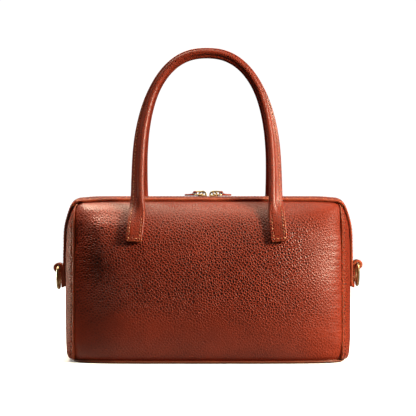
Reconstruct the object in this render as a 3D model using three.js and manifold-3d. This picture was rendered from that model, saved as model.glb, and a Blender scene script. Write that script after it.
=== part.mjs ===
// A small leather duffel bag: a zipped box of raw-edged leather panels with two rolled
// handles and a brass D-ring on a leather tab at each end.
// Millimetres, +Z up, +X along the bag, -Y towards the front. The origin is the middle of the base.
import * as THREE from "three";
import { LoftGeometry } from "three/addons/geometries/LoftGeometry.js";
import { mergeVertices } from "three/addons/utils/BufferGeometryUtils.js";
import Module from "manifold-3d";

const wasm = await Module();
wasm.setup();

// Driving dimensions
const LEATHER = 2.0; // thickness of every panel
const GAP = 0.4; // clear space between layers that are sewn together
const BASE = { halfLength: 118, halfDepth: 55, squareness: 5, thickness: 2.2 };

// Level sections of the stuffed bag's outer form, from the base to the crown of the zip.
// Each is |x / halfLength|^squareness + |y / halfDepth|^squareness = 1.
const SECTIONS = [
  { height: 2.6, halfLength: 117.2, halfDepth: 52.5, squareness: 5.0 },
  { height: 6, halfLength: 119.4, halfDepth: 54.8, squareness: 5.0 },
  { height: 14, halfLength: 120.6, halfDepth: 57.8, squareness: 4.4 },
  { height: 35, halfLength: 121.2, halfDepth: 61.6, squareness: 3.6 },
  { height: 68, halfLength: 121.5, halfDepth: 63.0, squareness: 3.3 },
  { height: 95, halfLength: 121.2, halfDepth: 60.2, squareness: 3.4 },
  { height: 112, halfLength: 120.1, halfDepth: 55.8, squareness: 4.0 },
  { height: 124, halfLength: 117.9, halfDepth: 50.0, squareness: 5.4 },
  { height: 131, halfLength: 115.8, halfDepth: 44.5, squareness: 6.6 },
  { height: 135.2, halfLength: 113.4, halfDepth: 38.0, squareness: 7.6 },
  { height: 137.7, halfLength: 110.2, halfDepth: 31.0, squareness: 8.0 },
  { height: 139.1, halfLength: 104.0, halfDepth: 20.0, squareness: 8.0 },
  { height: 139.8, halfLength: 90.0, halfDepth: 0, squareness: 8.0 },
];

// The big panels run under the pieces that are sewn over their edges.
const PANEL = {
  seamHalfLength: 113.4, // where the end panels' raw edges lie on the front
  cornerInset: 1.8, // the seam keeps this far inside the form at the rounded corners
  underlap: 5, // hidden border under an end panel
  top: 138.6, // top edge, hidden under the zip strips
  columns: 20,
  topRows: 3, // rows above the end panels
};
const END = {
  top: 134.5,
  slotHalfWidth: 10.4,
  slotBottom: 75,
  columns: 12,
  rows: 13,
  skived: 1.0, // thickness of the top border, thinned to lie flat under the strips
  skiveStart: 114,
  skiveEnd: 131,
};

// The zip, its tapes and the strips run over the top and down both ends.
// The spine is a straight top, a quarter turn at each corner and straight sides.
const SPINE = { halfLength: 121, top: 139.8, cornerRadius: 25, tip: 64 };
const STRIP = {
  zipHalfWidth: 5.5, // half of the slot that the zip shows in
  liftStart: 98, // from here to liftEnd the strips climb on to the end panels
  liftEnd: 110,
  bow: 0.3, // spare room where they turn over the end panels' shoulders
  bowStart: 95,
  bowEnd: 112,
  topSteps: 10,
  cornerSteps: 10,
  sideSteps: 4,
  across: 3,
  // half width of the pair of strips, by distance from the middle of the bag
  widths: [
    { reach: 0, halfWidth: 31 },
    { reach: 98, halfWidth: 31 },
    { reach: 110, halfWidth: 30.5 },
    { reach: 120, halfWidth: 27 },
    { reach: 136, halfWidth: 20 },
    { reach: 156, halfWidth: 15.5 },
    { reach: 190, halfWidth: 13 },
  ],
};
const TAPE = { inner: 0.8, outer: 9.5, thickness: 0.8 };
const TEETH = { halfWidth: 2.8, height: 1.6 };
const SLIDER = { x: 4.9, length: 8, halfWidth: 4.7, roof: 1.2 };
const BAIL = { x: 4.8, radius: 3.0, wire: 0.75 };
const PULL_RING = { x: 4.4, length: 7.2, width: 8.8, nearCorner: 3.2, farCorner: 1.3, wire: 0.7 };
const PULL_TILT = 2; // degrees that the rings lean down, outwards
const PULL_TAB = { width: 5.4, length: 8.8, leather: 0.9, clearance: 0.35, neckDeg: -95, tip: 1.2 };

// Rolled handles: flat stitched tabs on the panels, upright legs and a round arch.
const HANDLE = {
  tabBottom: 103,
  tabTop: 124,
  tabSpread: 61.2, // half distance between the tabs at their lower ends
  tabTopSpread: 59.4,
  archHalfWidth: 58.8,
  archStart: 158,
  archRise: 109,
  archFullness: 2.35, // 2 would be an ellipse
  shift: -1.2, // the handles sit a little left of the middle
  crownDepth: 15, // distance of the arch's top from the bag's middle plane
  tabLean: 0.46, // how far the leg leans back as it leaves the tab, per mm of rise
  crownLean: 0.02,
  steps: 40,
  sides: 10,
  // section along the handle, from a tab's lower end (0) to the top of the arch (1);
  // the welt is the sewn outer edge, and the twist in degrees turns it to the back
  profile: [
    { along: 0, halfWidth: 6.7, halfThick: 2.1, squareness: 6, welt: 0, twist: 0 },
    { along: 0.09, halfWidth: 6.6, halfThick: 2.1, squareness: 6, welt: 0, twist: 0 },
    { along: 0.16, halfWidth: 6.1, halfThick: 3.0, squareness: 2.8, welt: 0.5, twist: 8 },
    { along: 0.3, halfWidth: 5.8, halfThick: 3.5, squareness: 2.1, welt: 0.9, twist: 24 },
    { along: 0.45, halfWidth: 5.4, halfThick: 3.5, squareness: 2, welt: 0.9, twist: 26 },
    { along: 0.6, halfWidth: 4.5, halfThick: 3.5, squareness: 2, welt: 0.7, twist: 22 },
    { along: 0.72, halfWidth: 3.8, halfThick: 3.6, squareness: 2, welt: 0.4, twist: 14 },
    { along: 1, halfWidth: 3.8, halfThick: 3.7, squareness: 2, welt: 0.3, twist: 0 },
  ],
};

// D-rings hang from folded leather tabs on the ends of the strips.
const RING = { innerWidth: 19, length: 20.6, wire: 1.35, corner: 2.6 };
const RING_HEIGHT = { left: 79.8, right: 82.6 }; // the bars' heights, sewn a little uneven
const RING_TAB = { width: 16, leather: 2.4, clearance: 0.4, tip: 62.5, neckDeg: -125, tipThickness: 1.3 };

const COLOURS = { leather: 0x8a3a28, edge: 0xa04a2c, brass: 0xb89a62, tape: 0x4a2018 };
const finish = {
  leather: new THREE.MeshStandardMaterial({ color: COLOURS.leather, roughness: 0.5 }),
  handle: new THREE.MeshStandardMaterial({ color: COLOURS.edge, roughness: 0.45 }),
  brass: new THREE.MeshStandardMaterial({ color: COLOURS.brass, roughness: 0.3, metalness: 1 }),
  tape: new THREE.MeshStandardMaterial({ color: COLOURS.tape, roughness: 0.9 }),
};

// A smooth curve through one column of a table, against its key column.
function column(rows, key, name) {
  const slope = (i) => {
    const a = rows[Math.max(i - 1, 0)];
    const b = rows[Math.min(i + 1, rows.length - 1)];
    return (b[name] - a[name]) / (b[key] - a[key]);
  };
  return (at) => {
    let i = rows.findIndex((row) => row[key] >= at);
    if (i < 0) return rows.at(-1)[name];
    if (i === 0) return rows[0][name];
    i -= 1;
    const step = rows[i + 1][key] - rows[i][key];
    const t = (at - rows[i][key]) / step;
    const ease = t * t * (3 - 2 * t);
    const bend = step * t * (1 - t) * ((1 - t) * slope(i) - t * slope(i + 1));
    return rows[i][name] + (rows[i + 1][name] - rows[i][name]) * ease + bend;
  };
}

// The form's level section at a height. The curve is mirrored past the crown so that it closes level.
const PROFILE_SAMPLES = 800;
const mirroredCrown = { ...SECTIONS.at(-2), halfDepth: -SECTIONS.at(-2).halfDepth };
const profileRows = [...SECTIONS, mirroredCrown];
const outline = new THREE.CatmullRomCurve3(
  profileRows.map((r) => new THREE.Vector3(r.halfLength, r.halfDepth, r.height)),
);
const squareness = column(SECTIONS, "height", "squareness");
const crownAt = (SECTIONS.length - 1) / SECTIONS.length;
const profile = Array.from({ length: PROFILE_SAMPLES + 1 }, (_, i) =>
  outline.getPoint((crownAt * i) / PROFILE_SAMPLES),
);

function sectionAt(height) {
  let low = 0;
  let high = PROFILE_SAMPLES;
  while (high - low > 1) {
    const middle = (low + high) >> 1;
    if (profile[middle].z <= height) low = middle;
    else high = middle;
  }
  const t = (height - profile[low].z) / (profile[high].z - profile[low].z);
  const p = profile[low].clone().lerp(profile[high], THREE.MathUtils.clamp(t, 0, 1));
  return { halfLength: p.x, halfDepth: Math.max(p.y, 0), power: squareness(height) };
}

function insideForm(p) {
  if (p.z >= SECTIONS.at(-1).height) return false;
  const s = sectionAt(p.z);
  if (s.halfDepth === 0) return false;
  return Math.abs(p.x / s.halfLength) ** s.power + Math.abs(p.y / s.halfDepth) ** s.power < 1;
}

// The point where a ray from inside the bag leaves the form.
const RAY_LENGTH = 160;
const RAY_HALVINGS = 34;
function onForm(origin, direction) {
  let near = 0;
  let far = RAY_LENGTH;
  for (let i = 0; i < RAY_HALVINGS; i++) {
    const middle = (near + far) / 2;
    if (insideForm(origin.clone().addScaledVector(direction, middle))) near = middle;
    else far = middle;
  }
  return origin.clone().addScaledVector(direction, near);
}

// A patch of the form gives a point for (a, b). Its raised point stands off along the normal.
const PROBE = 0.4;
function raised(patch, a, b, offset) {
  const p = patch(a, b);
  const alongA = patch(a + PROBE, b).sub(patch(a - PROBE, b));
  const alongB = patch(a, b + PROBE).sub(patch(a, b - PROBE));
  const normal = alongA.cross(alongB).normalize();
  if (normal.dot(new THREE.Vector3(p.x, p.y, p.z - SECTIONS[4].height)) < 0) normal.negate();
  const q = p.addScaledVector(normal, offset);
  q.z = Math.max(q.z, SECTIONS[0].height);
  return q;
}

const frontPatch = (x, z) => onForm(new THREE.Vector3(x, 0, z), new THREE.Vector3(0, -1, 0));
const endPatch = (y, z) => onForm(new THREE.Vector3(0, y, z), new THREE.Vector3(-1, 0, 0));

// The patch that runs over the top and down the ends: reach is signed from the middle.
const CORNER_START = SPINE.halfLength - SPINE.cornerRadius;
const CORNER_LENGTH = (SPINE.cornerRadius * Math.PI) / 2;
const SIDE_LENGTH = SPINE.top - SPINE.cornerRadius - SPINE.tip;
const REACH = CORNER_START + CORNER_LENGTH + SIDE_LENGTH;
function overPatch(reach, y) {
  const side = Math.sign(reach) || 1;
  const far = Math.abs(reach);
  const turn = THREE.MathUtils.clamp((far - CORNER_START) / CORNER_LENGTH, 0, 1) * (Math.PI / 2);
  const down = Math.max(far - CORNER_START - CORNER_LENGTH, 0);
  const origin = new THREE.Vector3(
    side * Math.min(far, CORNER_START),
    y,
    SPINE.top - SPINE.cornerRadius - down,
  );
  return onForm(origin, new THREE.Vector3(side * Math.sin(turn), 0, Math.cos(turn)));
}

// A closed solid through section loops, faces outwards.
function loft(sections, capped = true) {
  const build = (loops) => new LoftGeometry(loops, { capStart: capped, capEnd: capped });
  const geometry = build(sections);
  if (volumeOf(geometry) > 0) return geometry;
  return build(sections.map((loop) => [...loop].reverse()));
}

function volumeOf(geometry) {
  const position = geometry.getAttribute("position");
  const index = geometry.index.array;
  const corner = (i) => new THREE.Vector3().fromBufferAttribute(position, index[i]);
  let six = 0;
  for (let i = 0; i < index.length; i += 3) {
    six += corner(i).dot(corner(i + 1).cross(corner(i + 2)));
  }
  return six / 6;
}

// A leather wall: rows of outer points and, back again, inner points.
function wall(rowValues, columnValues, outer, inner) {
  return loft(
    rowValues.map((row) => {
      const columns = columnValues(row);
      const out = columns.map((c) => outer(row, c));
      const back = columns.map((c) => inner(row, c)).reverse();
      return [...out, ...back];
    }),
  );
}

const spread = (from, to, steps) =>
  Array.from({ length: steps + 1 }, (_, i) => from + ((to - from) * i) / steps);
// Steps that gather towards both ends.
const GATHER = Math.PI / 2.12;
const gathered = (steps) => spread(-1, 1, steps).map((t) => Math.sin(t * GATHER) / Math.sin(GATHER));

// Heights that the walls' rows share, closer at the shoulder.
const endRows = spread(0, 1, END.rows).map((t) => {
  const eased = t * 0.35 + 0.65 * Math.sin((t * Math.PI) / 2);
  return THREE.MathUtils.lerp(SECTIONS[0].height, END.top, eased);
});
const panelRows = [...endRows, ...spread(END.top, PANEL.top, PANEL.topRows).slice(1)];

const seamAt = (z) => Math.min(PANEL.seamHalfLength, sectionAt(z).halfLength - PANEL.cornerInset);

function frontPanel() {
  const columns = (z) => {
    const edge = Math.min(seamAt(z) + PANEL.underlap, sectionAt(z).halfLength - PANEL.cornerInset / 2);
    return gathered(PANEL.columns).map((t) => t * edge);
  };
  return wall(
    panelRows,
    columns,
    (z, x) => raised(frontPatch, x, z, 0),
    (z, x) => raised(frontPatch, x, z, -LEATHER),
  );
}

function asSolid(geometry) {
  const bare = new THREE.BufferGeometry().copy(geometry);
  bare.deleteAttribute("normal");
  bare.deleteAttribute("uv");
  const merged = mergeVertices(bare, 1e-3);
  return new wasm.Manifold(
    new wasm.Mesh({
      numProp: 3,
      vertProperties: merged.getAttribute("position").array,
      triVerts: new Uint32Array(merged.index.array),
    }),
  );
}

function asGeometry(solid) {
  const mesh = solid.getMesh();
  const geometry = new THREE.BufferGeometry();
  geometry.setAttribute("position", new THREE.BufferAttribute(mesh.vertProperties, 3));
  geometry.setIndex(new THREE.BufferAttribute(mesh.triVerts, 1));
  geometry.computeVertexNormals();
  return geometry;
}

const endThickness = (z) =>
  THREE.MathUtils.lerp(LEATHER, END.skived, THREE.MathUtils.smoothstep(z, END.skiveStart, END.skiveEnd));

// The left end panel laps over the front and back panels and is slotted for the zip.
function endPanel() {
  const columns = (z) => {
    const s = sectionAt(z);
    const share = (seamAt(z) / s.halfLength) ** s.power;
    const edge = s.halfDepth * (1 - share) ** (1 / s.power);
    return gathered(END.columns).map((t) => t * edge);
  };
  const whole = wall(
    endRows,
    columns,
    (z, y) => raised(endPatch, y, z, GAP + endThickness(z)),
    (z, y) => raised(endPatch, y, z, GAP),
  );
  const slotHeight = END.top + LEATHER * 2 - END.slotBottom;
  const slot = new THREE.BoxGeometry(SPINE.halfLength, END.slotHalfWidth * 2, slotHeight);
  slot.translate(-SPINE.halfLength, 0, END.slotBottom + slotHeight / 2);
  return asGeometry(asSolid(whole).subtract(asSolid(slot)));
}

// Distances along the spine where the strips, tapes and teeth have their sections.
const reaches = (() => {
  const top = spread(0, CORNER_START, STRIP.topSteps);
  const corner = spread(CORNER_START, CORNER_START + CORNER_LENGTH, STRIP.cornerSteps);
  const side = spread(CORNER_START + CORNER_LENGTH, REACH, STRIP.sideSteps);
  const half = [...top, ...corner.slice(1), ...side.slice(1)];
  return [...half.slice(1).reverse().map((r) => -r), ...half];
})();
const zipReaches = reaches.slice(1, -1); // the zip stops short of the strips' tips

const LAYER = LEATHER + GAP;
function lift(reach, y) {
  const { z } = overPatch(reach, y);
  const bow = STRIP.bow * THREE.MathUtils.smoothstep(z, STRIP.bowStart, STRIP.bowEnd);
  const climb = THREE.MathUtils.smoothstep(Math.abs(reach), STRIP.liftStart, STRIP.liftEnd);
  return (GAP + bow + endThickness(z)) * climb;
}
const stripHalfWidth = column(STRIP.widths, "reach", "halfWidth");

function zipStrip() {
  return wall(
    reaches,
    (reach) => spread(-stripHalfWidth(Math.abs(reach)), -STRIP.zipHalfWidth, STRIP.across),
    (reach, y) => raised(overPatch, reach, y, lift(reach, y) + GAP + LEATHER),
    (reach, y) => raised(overPatch, reach, y, lift(reach, y) + GAP),
  );
}

function zipTape() {
  return wall(
    zipReaches,
    () => [-TAPE.outer, -TAPE.inner],
    (reach, y) => raised(overPatch, reach, y, lift(reach, y)),
    (reach, y) => raised(overPatch, reach, y, lift(reach, y) - TAPE.thickness),
  );
}

function zipTeeth() {
  return wall(
    zipReaches,
    () => [-TEETH.halfWidth, 0, TEETH.halfWidth],
    (reach, y) => raised(overPatch, reach, y, lift(reach, y) + GAP + TEETH.height),
    (reach, y) => raised(overPatch, reach, y, lift(reach, y) + GAP),
  );
}

// A round wire along a path in a plane: points are { u, v }, place(u, v) puts them in space.
const WIRE_SIDES = 8;
function wire(points, radius, place, closed) {
  const count = points.length;
  const tangentAt = (i) => {
    const a = points[closed ? (i - 1 + count) % count : Math.max(i - 1, 0)];
    const b = points[closed ? (i + 1) % count : Math.min(i + 1, count - 1)];
    return new THREE.Vector2(b.u - a.u, b.v - a.v).normalize();
  };
  const across = place(0, 0, 1).sub(place(0, 0, 0));
  const sections = points.map((p, i) => {
    const t = tangentAt(i);
    return Array.from({ length: WIRE_SIDES }, (_, k) => {
      const angle = ((k + 0.5) * 2 * Math.PI) / WIRE_SIDES;
      const off = radius * Math.cos(angle);
      return place(p.u - t.y * off, p.v + t.x * off).addScaledVector(across, radius * Math.sin(angle));
    });
  });
  if (closed) sections.push(sections[0]);
  return loft(sections, !closed);
}

// A rounded rectangle from (0, 0), width along u and length along -v, with two corner radii.
const WIDE_CORNER = 5;
function roundedLoop(width, length, nearCorner, farCorner) {
  const arc = (u, v, radius, from) =>
    spread(from, from - Math.PI / 2, radius > WIDE_CORNER ? 7 : 3).map((a) => ({
      u: u + radius * Math.cos(a),
      v: v + radius * Math.sin(a),
    }));
  const w = width / 2;
  const farLeft = arc(farCorner - w, farCorner - length, farCorner, -Math.PI / 2);
  return [
    ...arc(w - nearCorner, -nearCorner, nearCorner, Math.PI / 2),
    ...arc(w - farCorner, farCorner - length, farCorner, 0),
    ...(farCorner < w ? farLeft : farLeft.slice(1)), // two full quarter rounds share a point
    ...arc(nearCorner - w, -nearCorner, nearCorner, -Math.PI),
  ];
}

// A strap folded round a bar at (0, 0) with its two legs sewn flat, running along -v.
// It is drawn in the u, v plane, lies on u = -loop radius, and is extruded across.
const FOLD_STEPS = 10;
function foldedTab({ hole, leather, length, neckDeg, tipThickness, width }) {
  const loop = hole + leather;
  const neck = THREE.MathUtils.degToRad(neckDeg); // where the outer leg leaves the loop
  const shape = new THREE.Shape();
  shape.moveTo(-loop, -length);
  shape.lineTo(-loop + tipThickness, -length);
  shape.lineTo(loop * Math.cos(neck), loop * Math.sin(neck));
  shape.absarc(0, 0, loop, neck, Math.PI, false);
  const bore = new THREE.Path();
  bore.absarc(0, 0, hole, 0, Math.PI * 2, true);
  shape.holes.push(bore);
  const tab = new THREE.ExtrudeGeometry(shape, {
    depth: width,
    bevelEnabled: false,
    curveSegments: FOLD_STEPS,
  });
  return tab.translate(0, 0, -width / 2);
}

// An end, drawn for the left: the strip's outer face, then the D-ring's tab, with the bar in its fold.
const STRIP_FACE = sectionAt(RING_HEIGHT.left).halfLength + 2 * LAYER;
const ringHole = RING.wire + RING_TAB.clearance;
const RING_X = -(STRIP_FACE + GAP + ringHole + RING_TAB.leather);

function ringTab(height) {
  const tab = foldedTab({
    hole: ringHole,
    leather: RING_TAB.leather,
    length: height - RING_TAB.tip,
    neckDeg: RING_TAB.neckDeg,
    tipThickness: RING_TAB.tipThickness,
    width: RING_TAB.width,
  });
  // u points away from the bag, v up
  const frame = new THREE.Matrix4().makeBasis(
    new THREE.Vector3(-1, 0, 0),
    new THREE.Vector3(0, 0, 1),
    new THREE.Vector3(0, 1, 0),
  );
  return tab.applyMatrix4(frame).translate(RING_X, 0, height);
}

function dRing(height) {
  const width = RING.innerWidth + 2 * RING.wire;
  const path = roundedLoop(width, RING.length - 2 * RING.wire, RING.corner, width / 2);
  const place = (u, v, out = 0) => new THREE.Vector3(RING_X - out, u, height + v);
  return wire(path, RING.wire, place, true);
}

// The left slider straddles the teeth. Its bail is an arch along the zip.
const TEETH_TOP = SPINE.top + GAP + TEETH.height;
const SLIDER_TOP = TEETH_TOP + GAP + SLIDER.roof;
function zipSlider() {
  const skirt = GAP + TEETH.height;
  const body = new THREE.Shape();
  const w = SLIDER.halfWidth;
  const inner = TEETH.halfWidth + GAP;
  const low = SLIDER_TOP - SLIDER.roof - skirt + GAP;
  body.moveTo(-w, low);
  body.lineTo(-inner, low);
  body.lineTo(-inner, SLIDER_TOP - SLIDER.roof);
  body.lineTo(inner, SLIDER_TOP - SLIDER.roof);
  body.lineTo(inner, low);
  body.lineTo(w, low);
  body.lineTo(w, SLIDER_TOP - SLIDER.roof / 2);
  body.lineTo(w - SLIDER.roof / 2, SLIDER_TOP);
  body.lineTo(SLIDER.roof / 2 - w, SLIDER_TOP);
  body.lineTo(-w, SLIDER_TOP - SLIDER.roof / 2);
  const channel = new THREE.ExtrudeGeometry(body, { depth: SLIDER.length, bevelEnabled: false });
  channel.translate(0, 0, -SLIDER.length / 2);
  const alongZip = new THREE.Matrix4().makeBasis(
    new THREE.Vector3(0, 1, 0),
    new THREE.Vector3(0, 0, 1),
    new THREE.Vector3(1, 0, 0),
  );
  channel.applyMatrix4(alongZip).translate(-SLIDER.x, 0, 0);
  const arch = spread(-0.1 * Math.PI, 1.1 * Math.PI, 10).map((a) => ({
    u: BAIL.radius * Math.cos(a),
    v: BAIL.radius * Math.sin(a),
  }));
  const place = (u, v, out = 0) => new THREE.Vector3(-BAIL.x + u, out, SLIDER_TOP + v);
  const bail = wire(arch, BAIL.wire, place, false);
  return asGeometry(asSolid(channel).add(asSolid(bail)));
}

// The left pull ring passes under the bail and carries a leather pull, both leaning outwards.
const PULL_PIVOT = new THREE.Vector3(-PULL_RING.x, 0, SLIDER_TOP + GAP + PULL_RING.wire);
const pullTilt = THREE.MathUtils.degToRad(PULL_TILT);
const pullAxis = new THREE.Vector3(-Math.cos(pullTilt), 0, -Math.sin(pullTilt)); // from the bail outwards
const pullUp = new THREE.Vector3(-Math.sin(pullTilt), 0, Math.cos(pullTilt));

function pullRing() {
  const path = roundedLoop(PULL_RING.width, PULL_RING.length, PULL_RING.nearCorner, PULL_RING.farCorner);
  const place = (u, v, out = 0) =>
    PULL_PIVOT.clone()
      .addScaledVector(pullAxis, -v)
      .addScaledVector(pullUp, out)
      .add(new THREE.Vector3(0, u, 0));
  return wire(path, PULL_RING.wire, place, true);
}

function pullTab() {
  const hole = PULL_RING.wire + PULL_TAB.clearance;
  const tab = foldedTab({
    hole,
    leather: PULL_TAB.leather,
    length: PULL_TAB.length,
    neckDeg: PULL_TAB.neckDeg,
    tipThickness: PULL_TAB.tip,
    width: PULL_TAB.width,
  });
  // u points up from the zip, v back towards the ring
  const frame = new THREE.Matrix4().makeBasis(
    new THREE.Vector3(0, 0, 1),
    new THREE.Vector3(1, 0, 0),
    new THREE.Vector3(0, 1, 0),
  );
  const bar = PULL_PIVOT.clone().addScaledVector(pullAxis, PULL_RING.length);
  return tab.applyMatrix4(frame).translate(bar.x, 0, bar.z);
}

// The front handle's centre line, from the left tab over the arch to the right tab.
const handleColumns = ["halfWidth", "halfThick", "squareness", "welt", "twist"];
const handleSection = Object.fromEntries(
  handleColumns.map((name) => [name, column(HANDLE.profile, "along", name)]),
);
const TAB_POINTS = 4;
const LEG_POINTS = 4;
const ARCH_POINTS = 9;

function handleDepth(z) {
  const foot = HANDLE.tabTop;
  const rise = HANDLE.archStart + HANDLE.archRise - foot;
  const start = raised(frontPatch, -HANDLE.archHalfWidth, foot, GAP + HANDLE.profile[0].halfThick).y;
  const t = (z - foot) / rise;
  const ease = t * t * (3 - 2 * t);
  const bend = rise * t * (1 - t) * ((1 - t) * HANDLE.tabLean - t * HANDLE.crownLean);
  return THREE.MathUtils.lerp(start, -HANDLE.crownDepth, ease) + bend;
}

const handleLine = (() => {
  const standOff = GAP + HANDLE.profile[0].halfThick;
  const tab = spread(HANDLE.tabBottom, HANDLE.tabTop, TAB_POINTS).map((z) => {
    const t = (z - HANDLE.tabBottom) / (HANDLE.tabTop - HANDLE.tabBottom);
    const x = -THREE.MathUtils.lerp(HANDLE.tabSpread, HANDLE.tabTopSpread, t);
    return raised(frontPatch, x, z, standOff);
  });
  const leg = spread(HANDLE.tabTop, HANDLE.archStart, LEG_POINTS)
    .slice(1, -1)
    .map((z) => new THREE.Vector3(-HANDLE.archHalfWidth, handleDepth(z), z));
  const power = 2 / HANDLE.archFullness;
  const arch = spread(0, Math.PI / 2, ARCH_POINTS).map((a) => {
    const z = HANDLE.archStart + HANDLE.archRise * Math.sin(a) ** power;
    return new THREE.Vector3(-HANDLE.archHalfWidth * Math.cos(a) ** power, handleDepth(z), z);
  });
  const left = [...tab, ...leg, ...arch];
  const right = left.slice(0, -1).reverse().map((p) => new THREE.Vector3(-p.x, p.y, p.z));
  return new THREE.CatmullRomCurve3([...left, ...right], false, "centripetal");
})();

// Away from the middle of the arch: sideways on the legs, radial above them.
function handleOutward(p) {
  const up = Math.max(p.z - HANDLE.archStart, 0) / HANDLE.archRise ** 2;
  return new THREE.Vector3(p.x / HANDLE.archHalfWidth ** 2, 0, up).normalize();
}

function handle() {
  const sections = spread(0, 1, HANDLE.steps).map((at) => {
    const p = handleLine.getPointAt(at);
    const tangent = handleLine.getTangentAt(at);
    const along = 1 - Math.abs(2 * at - 1);
    const size = Object.fromEntries(Object.entries(handleSection).map(([name, of]) => [name, of(along)]));
    const outward = handleOutward(p);
    outward.addScaledVector(tangent, -outward.dot(tangent)).normalize();
    outward.applyAxisAngle(tangent, -THREE.MathUtils.degToRad(size.twist));
    const face = new THREE.Vector3().crossVectors(tangent, outward);
    return Array.from({ length: HANDLE.sides }, (_, k) => {
      const angle = (k * 2 * Math.PI) / HANDLE.sides;
      const round = (v) => Math.sign(v) * Math.abs(v) ** (2 / size.squareness);
      const welt = size.welt * Math.max(Math.cos(angle), 0) ** 6;
      return p
        .clone()
        .addScaledVector(outward, size.halfWidth * round(Math.cos(angle)) + welt)
        .addScaledVector(face, size.halfThick * round(Math.sin(angle)));
    });
  });
  return loft(sections);
}

function basePanel() {
  const steps = 48;
  const power = 2 / BASE.squareness;
  const rim = Array.from({ length: steps }, (_, i) => {
    const a = (i * 2 * Math.PI) / steps;
    const round = (v) => Math.sign(v) * Math.abs(v) ** power;
    return new THREE.Vector2(BASE.halfLength * round(Math.cos(a)), BASE.halfDepth * round(Math.sin(a)));
  });
  return new THREE.ExtrudeGeometry(new THREE.Shape(rim), { depth: BASE.thickness, bevelEnabled: false });
}

// Assembly: each piece is made once, and its twin is turned half round the upright axis.
const bag = new THREE.Group();
function add(name, geometry, material) {
  const mesh = new THREE.Mesh(geometry, material);
  mesh.name = name;
  bag.add(mesh);
  return mesh;
}
function addPair(name, first, second, geometry, material, twin = geometry) {
  return [
    add(`${name}_${first}`, geometry, material),
    add(`${name}_${second}`, twin, material).rotateZ(Math.PI),
  ];
}

add("base_panel", basePanel(), finish.leather);
addPair("panel", "front", "back", frontPanel(), finish.leather);
addPair("end_panel", "left", "right", endPanel(), finish.leather);
addPair("zip_strip", "front", "back", zipStrip(), finish.leather);
addPair("zip_tape", "front", "back", zipTape(), finish.tape);
add("zip_teeth", zipTeeth(), finish.brass);
addPair("zip_slider", "left", "right", zipSlider(), finish.brass);
addPair("pull_ring", "left", "right", pullRing(), finish.brass);
addPair("pull_tab", "left", "right", pullTab(), finish.leather);
const handles = addPair("handle", "front", "back", handle(), finish.handle);
for (const piece of handles) piece.position.x = HANDLE.shift;
const { left, right } = RING_HEIGHT;
addPair("ring_tab", "left", "right", ringTab(left), finish.leather, ringTab(right));
addPair("d_ring", "left", "right", dRing(left), finish.brass, dRing(right));

export default bag;
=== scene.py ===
import math
import bmesh
import bpy
import numpy as np
from mathutils import Matrix, Vector


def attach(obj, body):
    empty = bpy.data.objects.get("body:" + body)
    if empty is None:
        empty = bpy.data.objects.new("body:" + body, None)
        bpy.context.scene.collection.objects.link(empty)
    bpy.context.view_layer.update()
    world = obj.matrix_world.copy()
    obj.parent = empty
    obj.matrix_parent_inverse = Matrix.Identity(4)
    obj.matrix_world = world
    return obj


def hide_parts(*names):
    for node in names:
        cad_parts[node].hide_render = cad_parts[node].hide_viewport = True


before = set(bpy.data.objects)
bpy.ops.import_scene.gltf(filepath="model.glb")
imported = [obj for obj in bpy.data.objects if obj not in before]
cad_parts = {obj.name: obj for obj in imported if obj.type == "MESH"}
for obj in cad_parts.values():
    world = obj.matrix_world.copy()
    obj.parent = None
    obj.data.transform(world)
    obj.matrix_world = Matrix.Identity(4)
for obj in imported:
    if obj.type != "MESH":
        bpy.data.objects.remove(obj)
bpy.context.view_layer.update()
scene = bpy.context.scene
scene.view_settings.view_transform = "Standard"  # colours as they were read
mm = 0.001  # tables below are in mm, meshes in metres
print("frame loaded:", len(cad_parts), "nodes")


def linear(hexColour):
    parts = [int(hexColour[i : i + 2], 16) / 255 for i in (1, 3, 5)]
    return [c / 12.92 if c <= 0.04045 else ((c + 0.055) / 1.055) ** 2.4 for c in parts] + [1.0]


# A node with its settings and links. A node given as an input stands for its first output in use.
def addNode(tree, kind, inputs=None, **settings):
    node = tree.nodes.new(kind)
    for key, value in settings.items():
        setattr(node, key, value)
    for key, value in (inputs or {}).items():
        if isinstance(value, bpy.types.Node):
            value = next(socket for socket in value.outputs if socket.enabled)
        if isinstance(value, bpy.types.NodeSocket):
            tree.links.new(value, node.inputs[key])
        else:
            node.inputs[key].default_value = value
    return node


def newMaterial(name):
    material = bpy.data.materials.new(name)
    material.use_nodes = True
    tree = material.node_tree
    tree.nodes.clear()
    return material, tree, addNode(tree, "ShaderNodeTexCoord").outputs["Object"]


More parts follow.
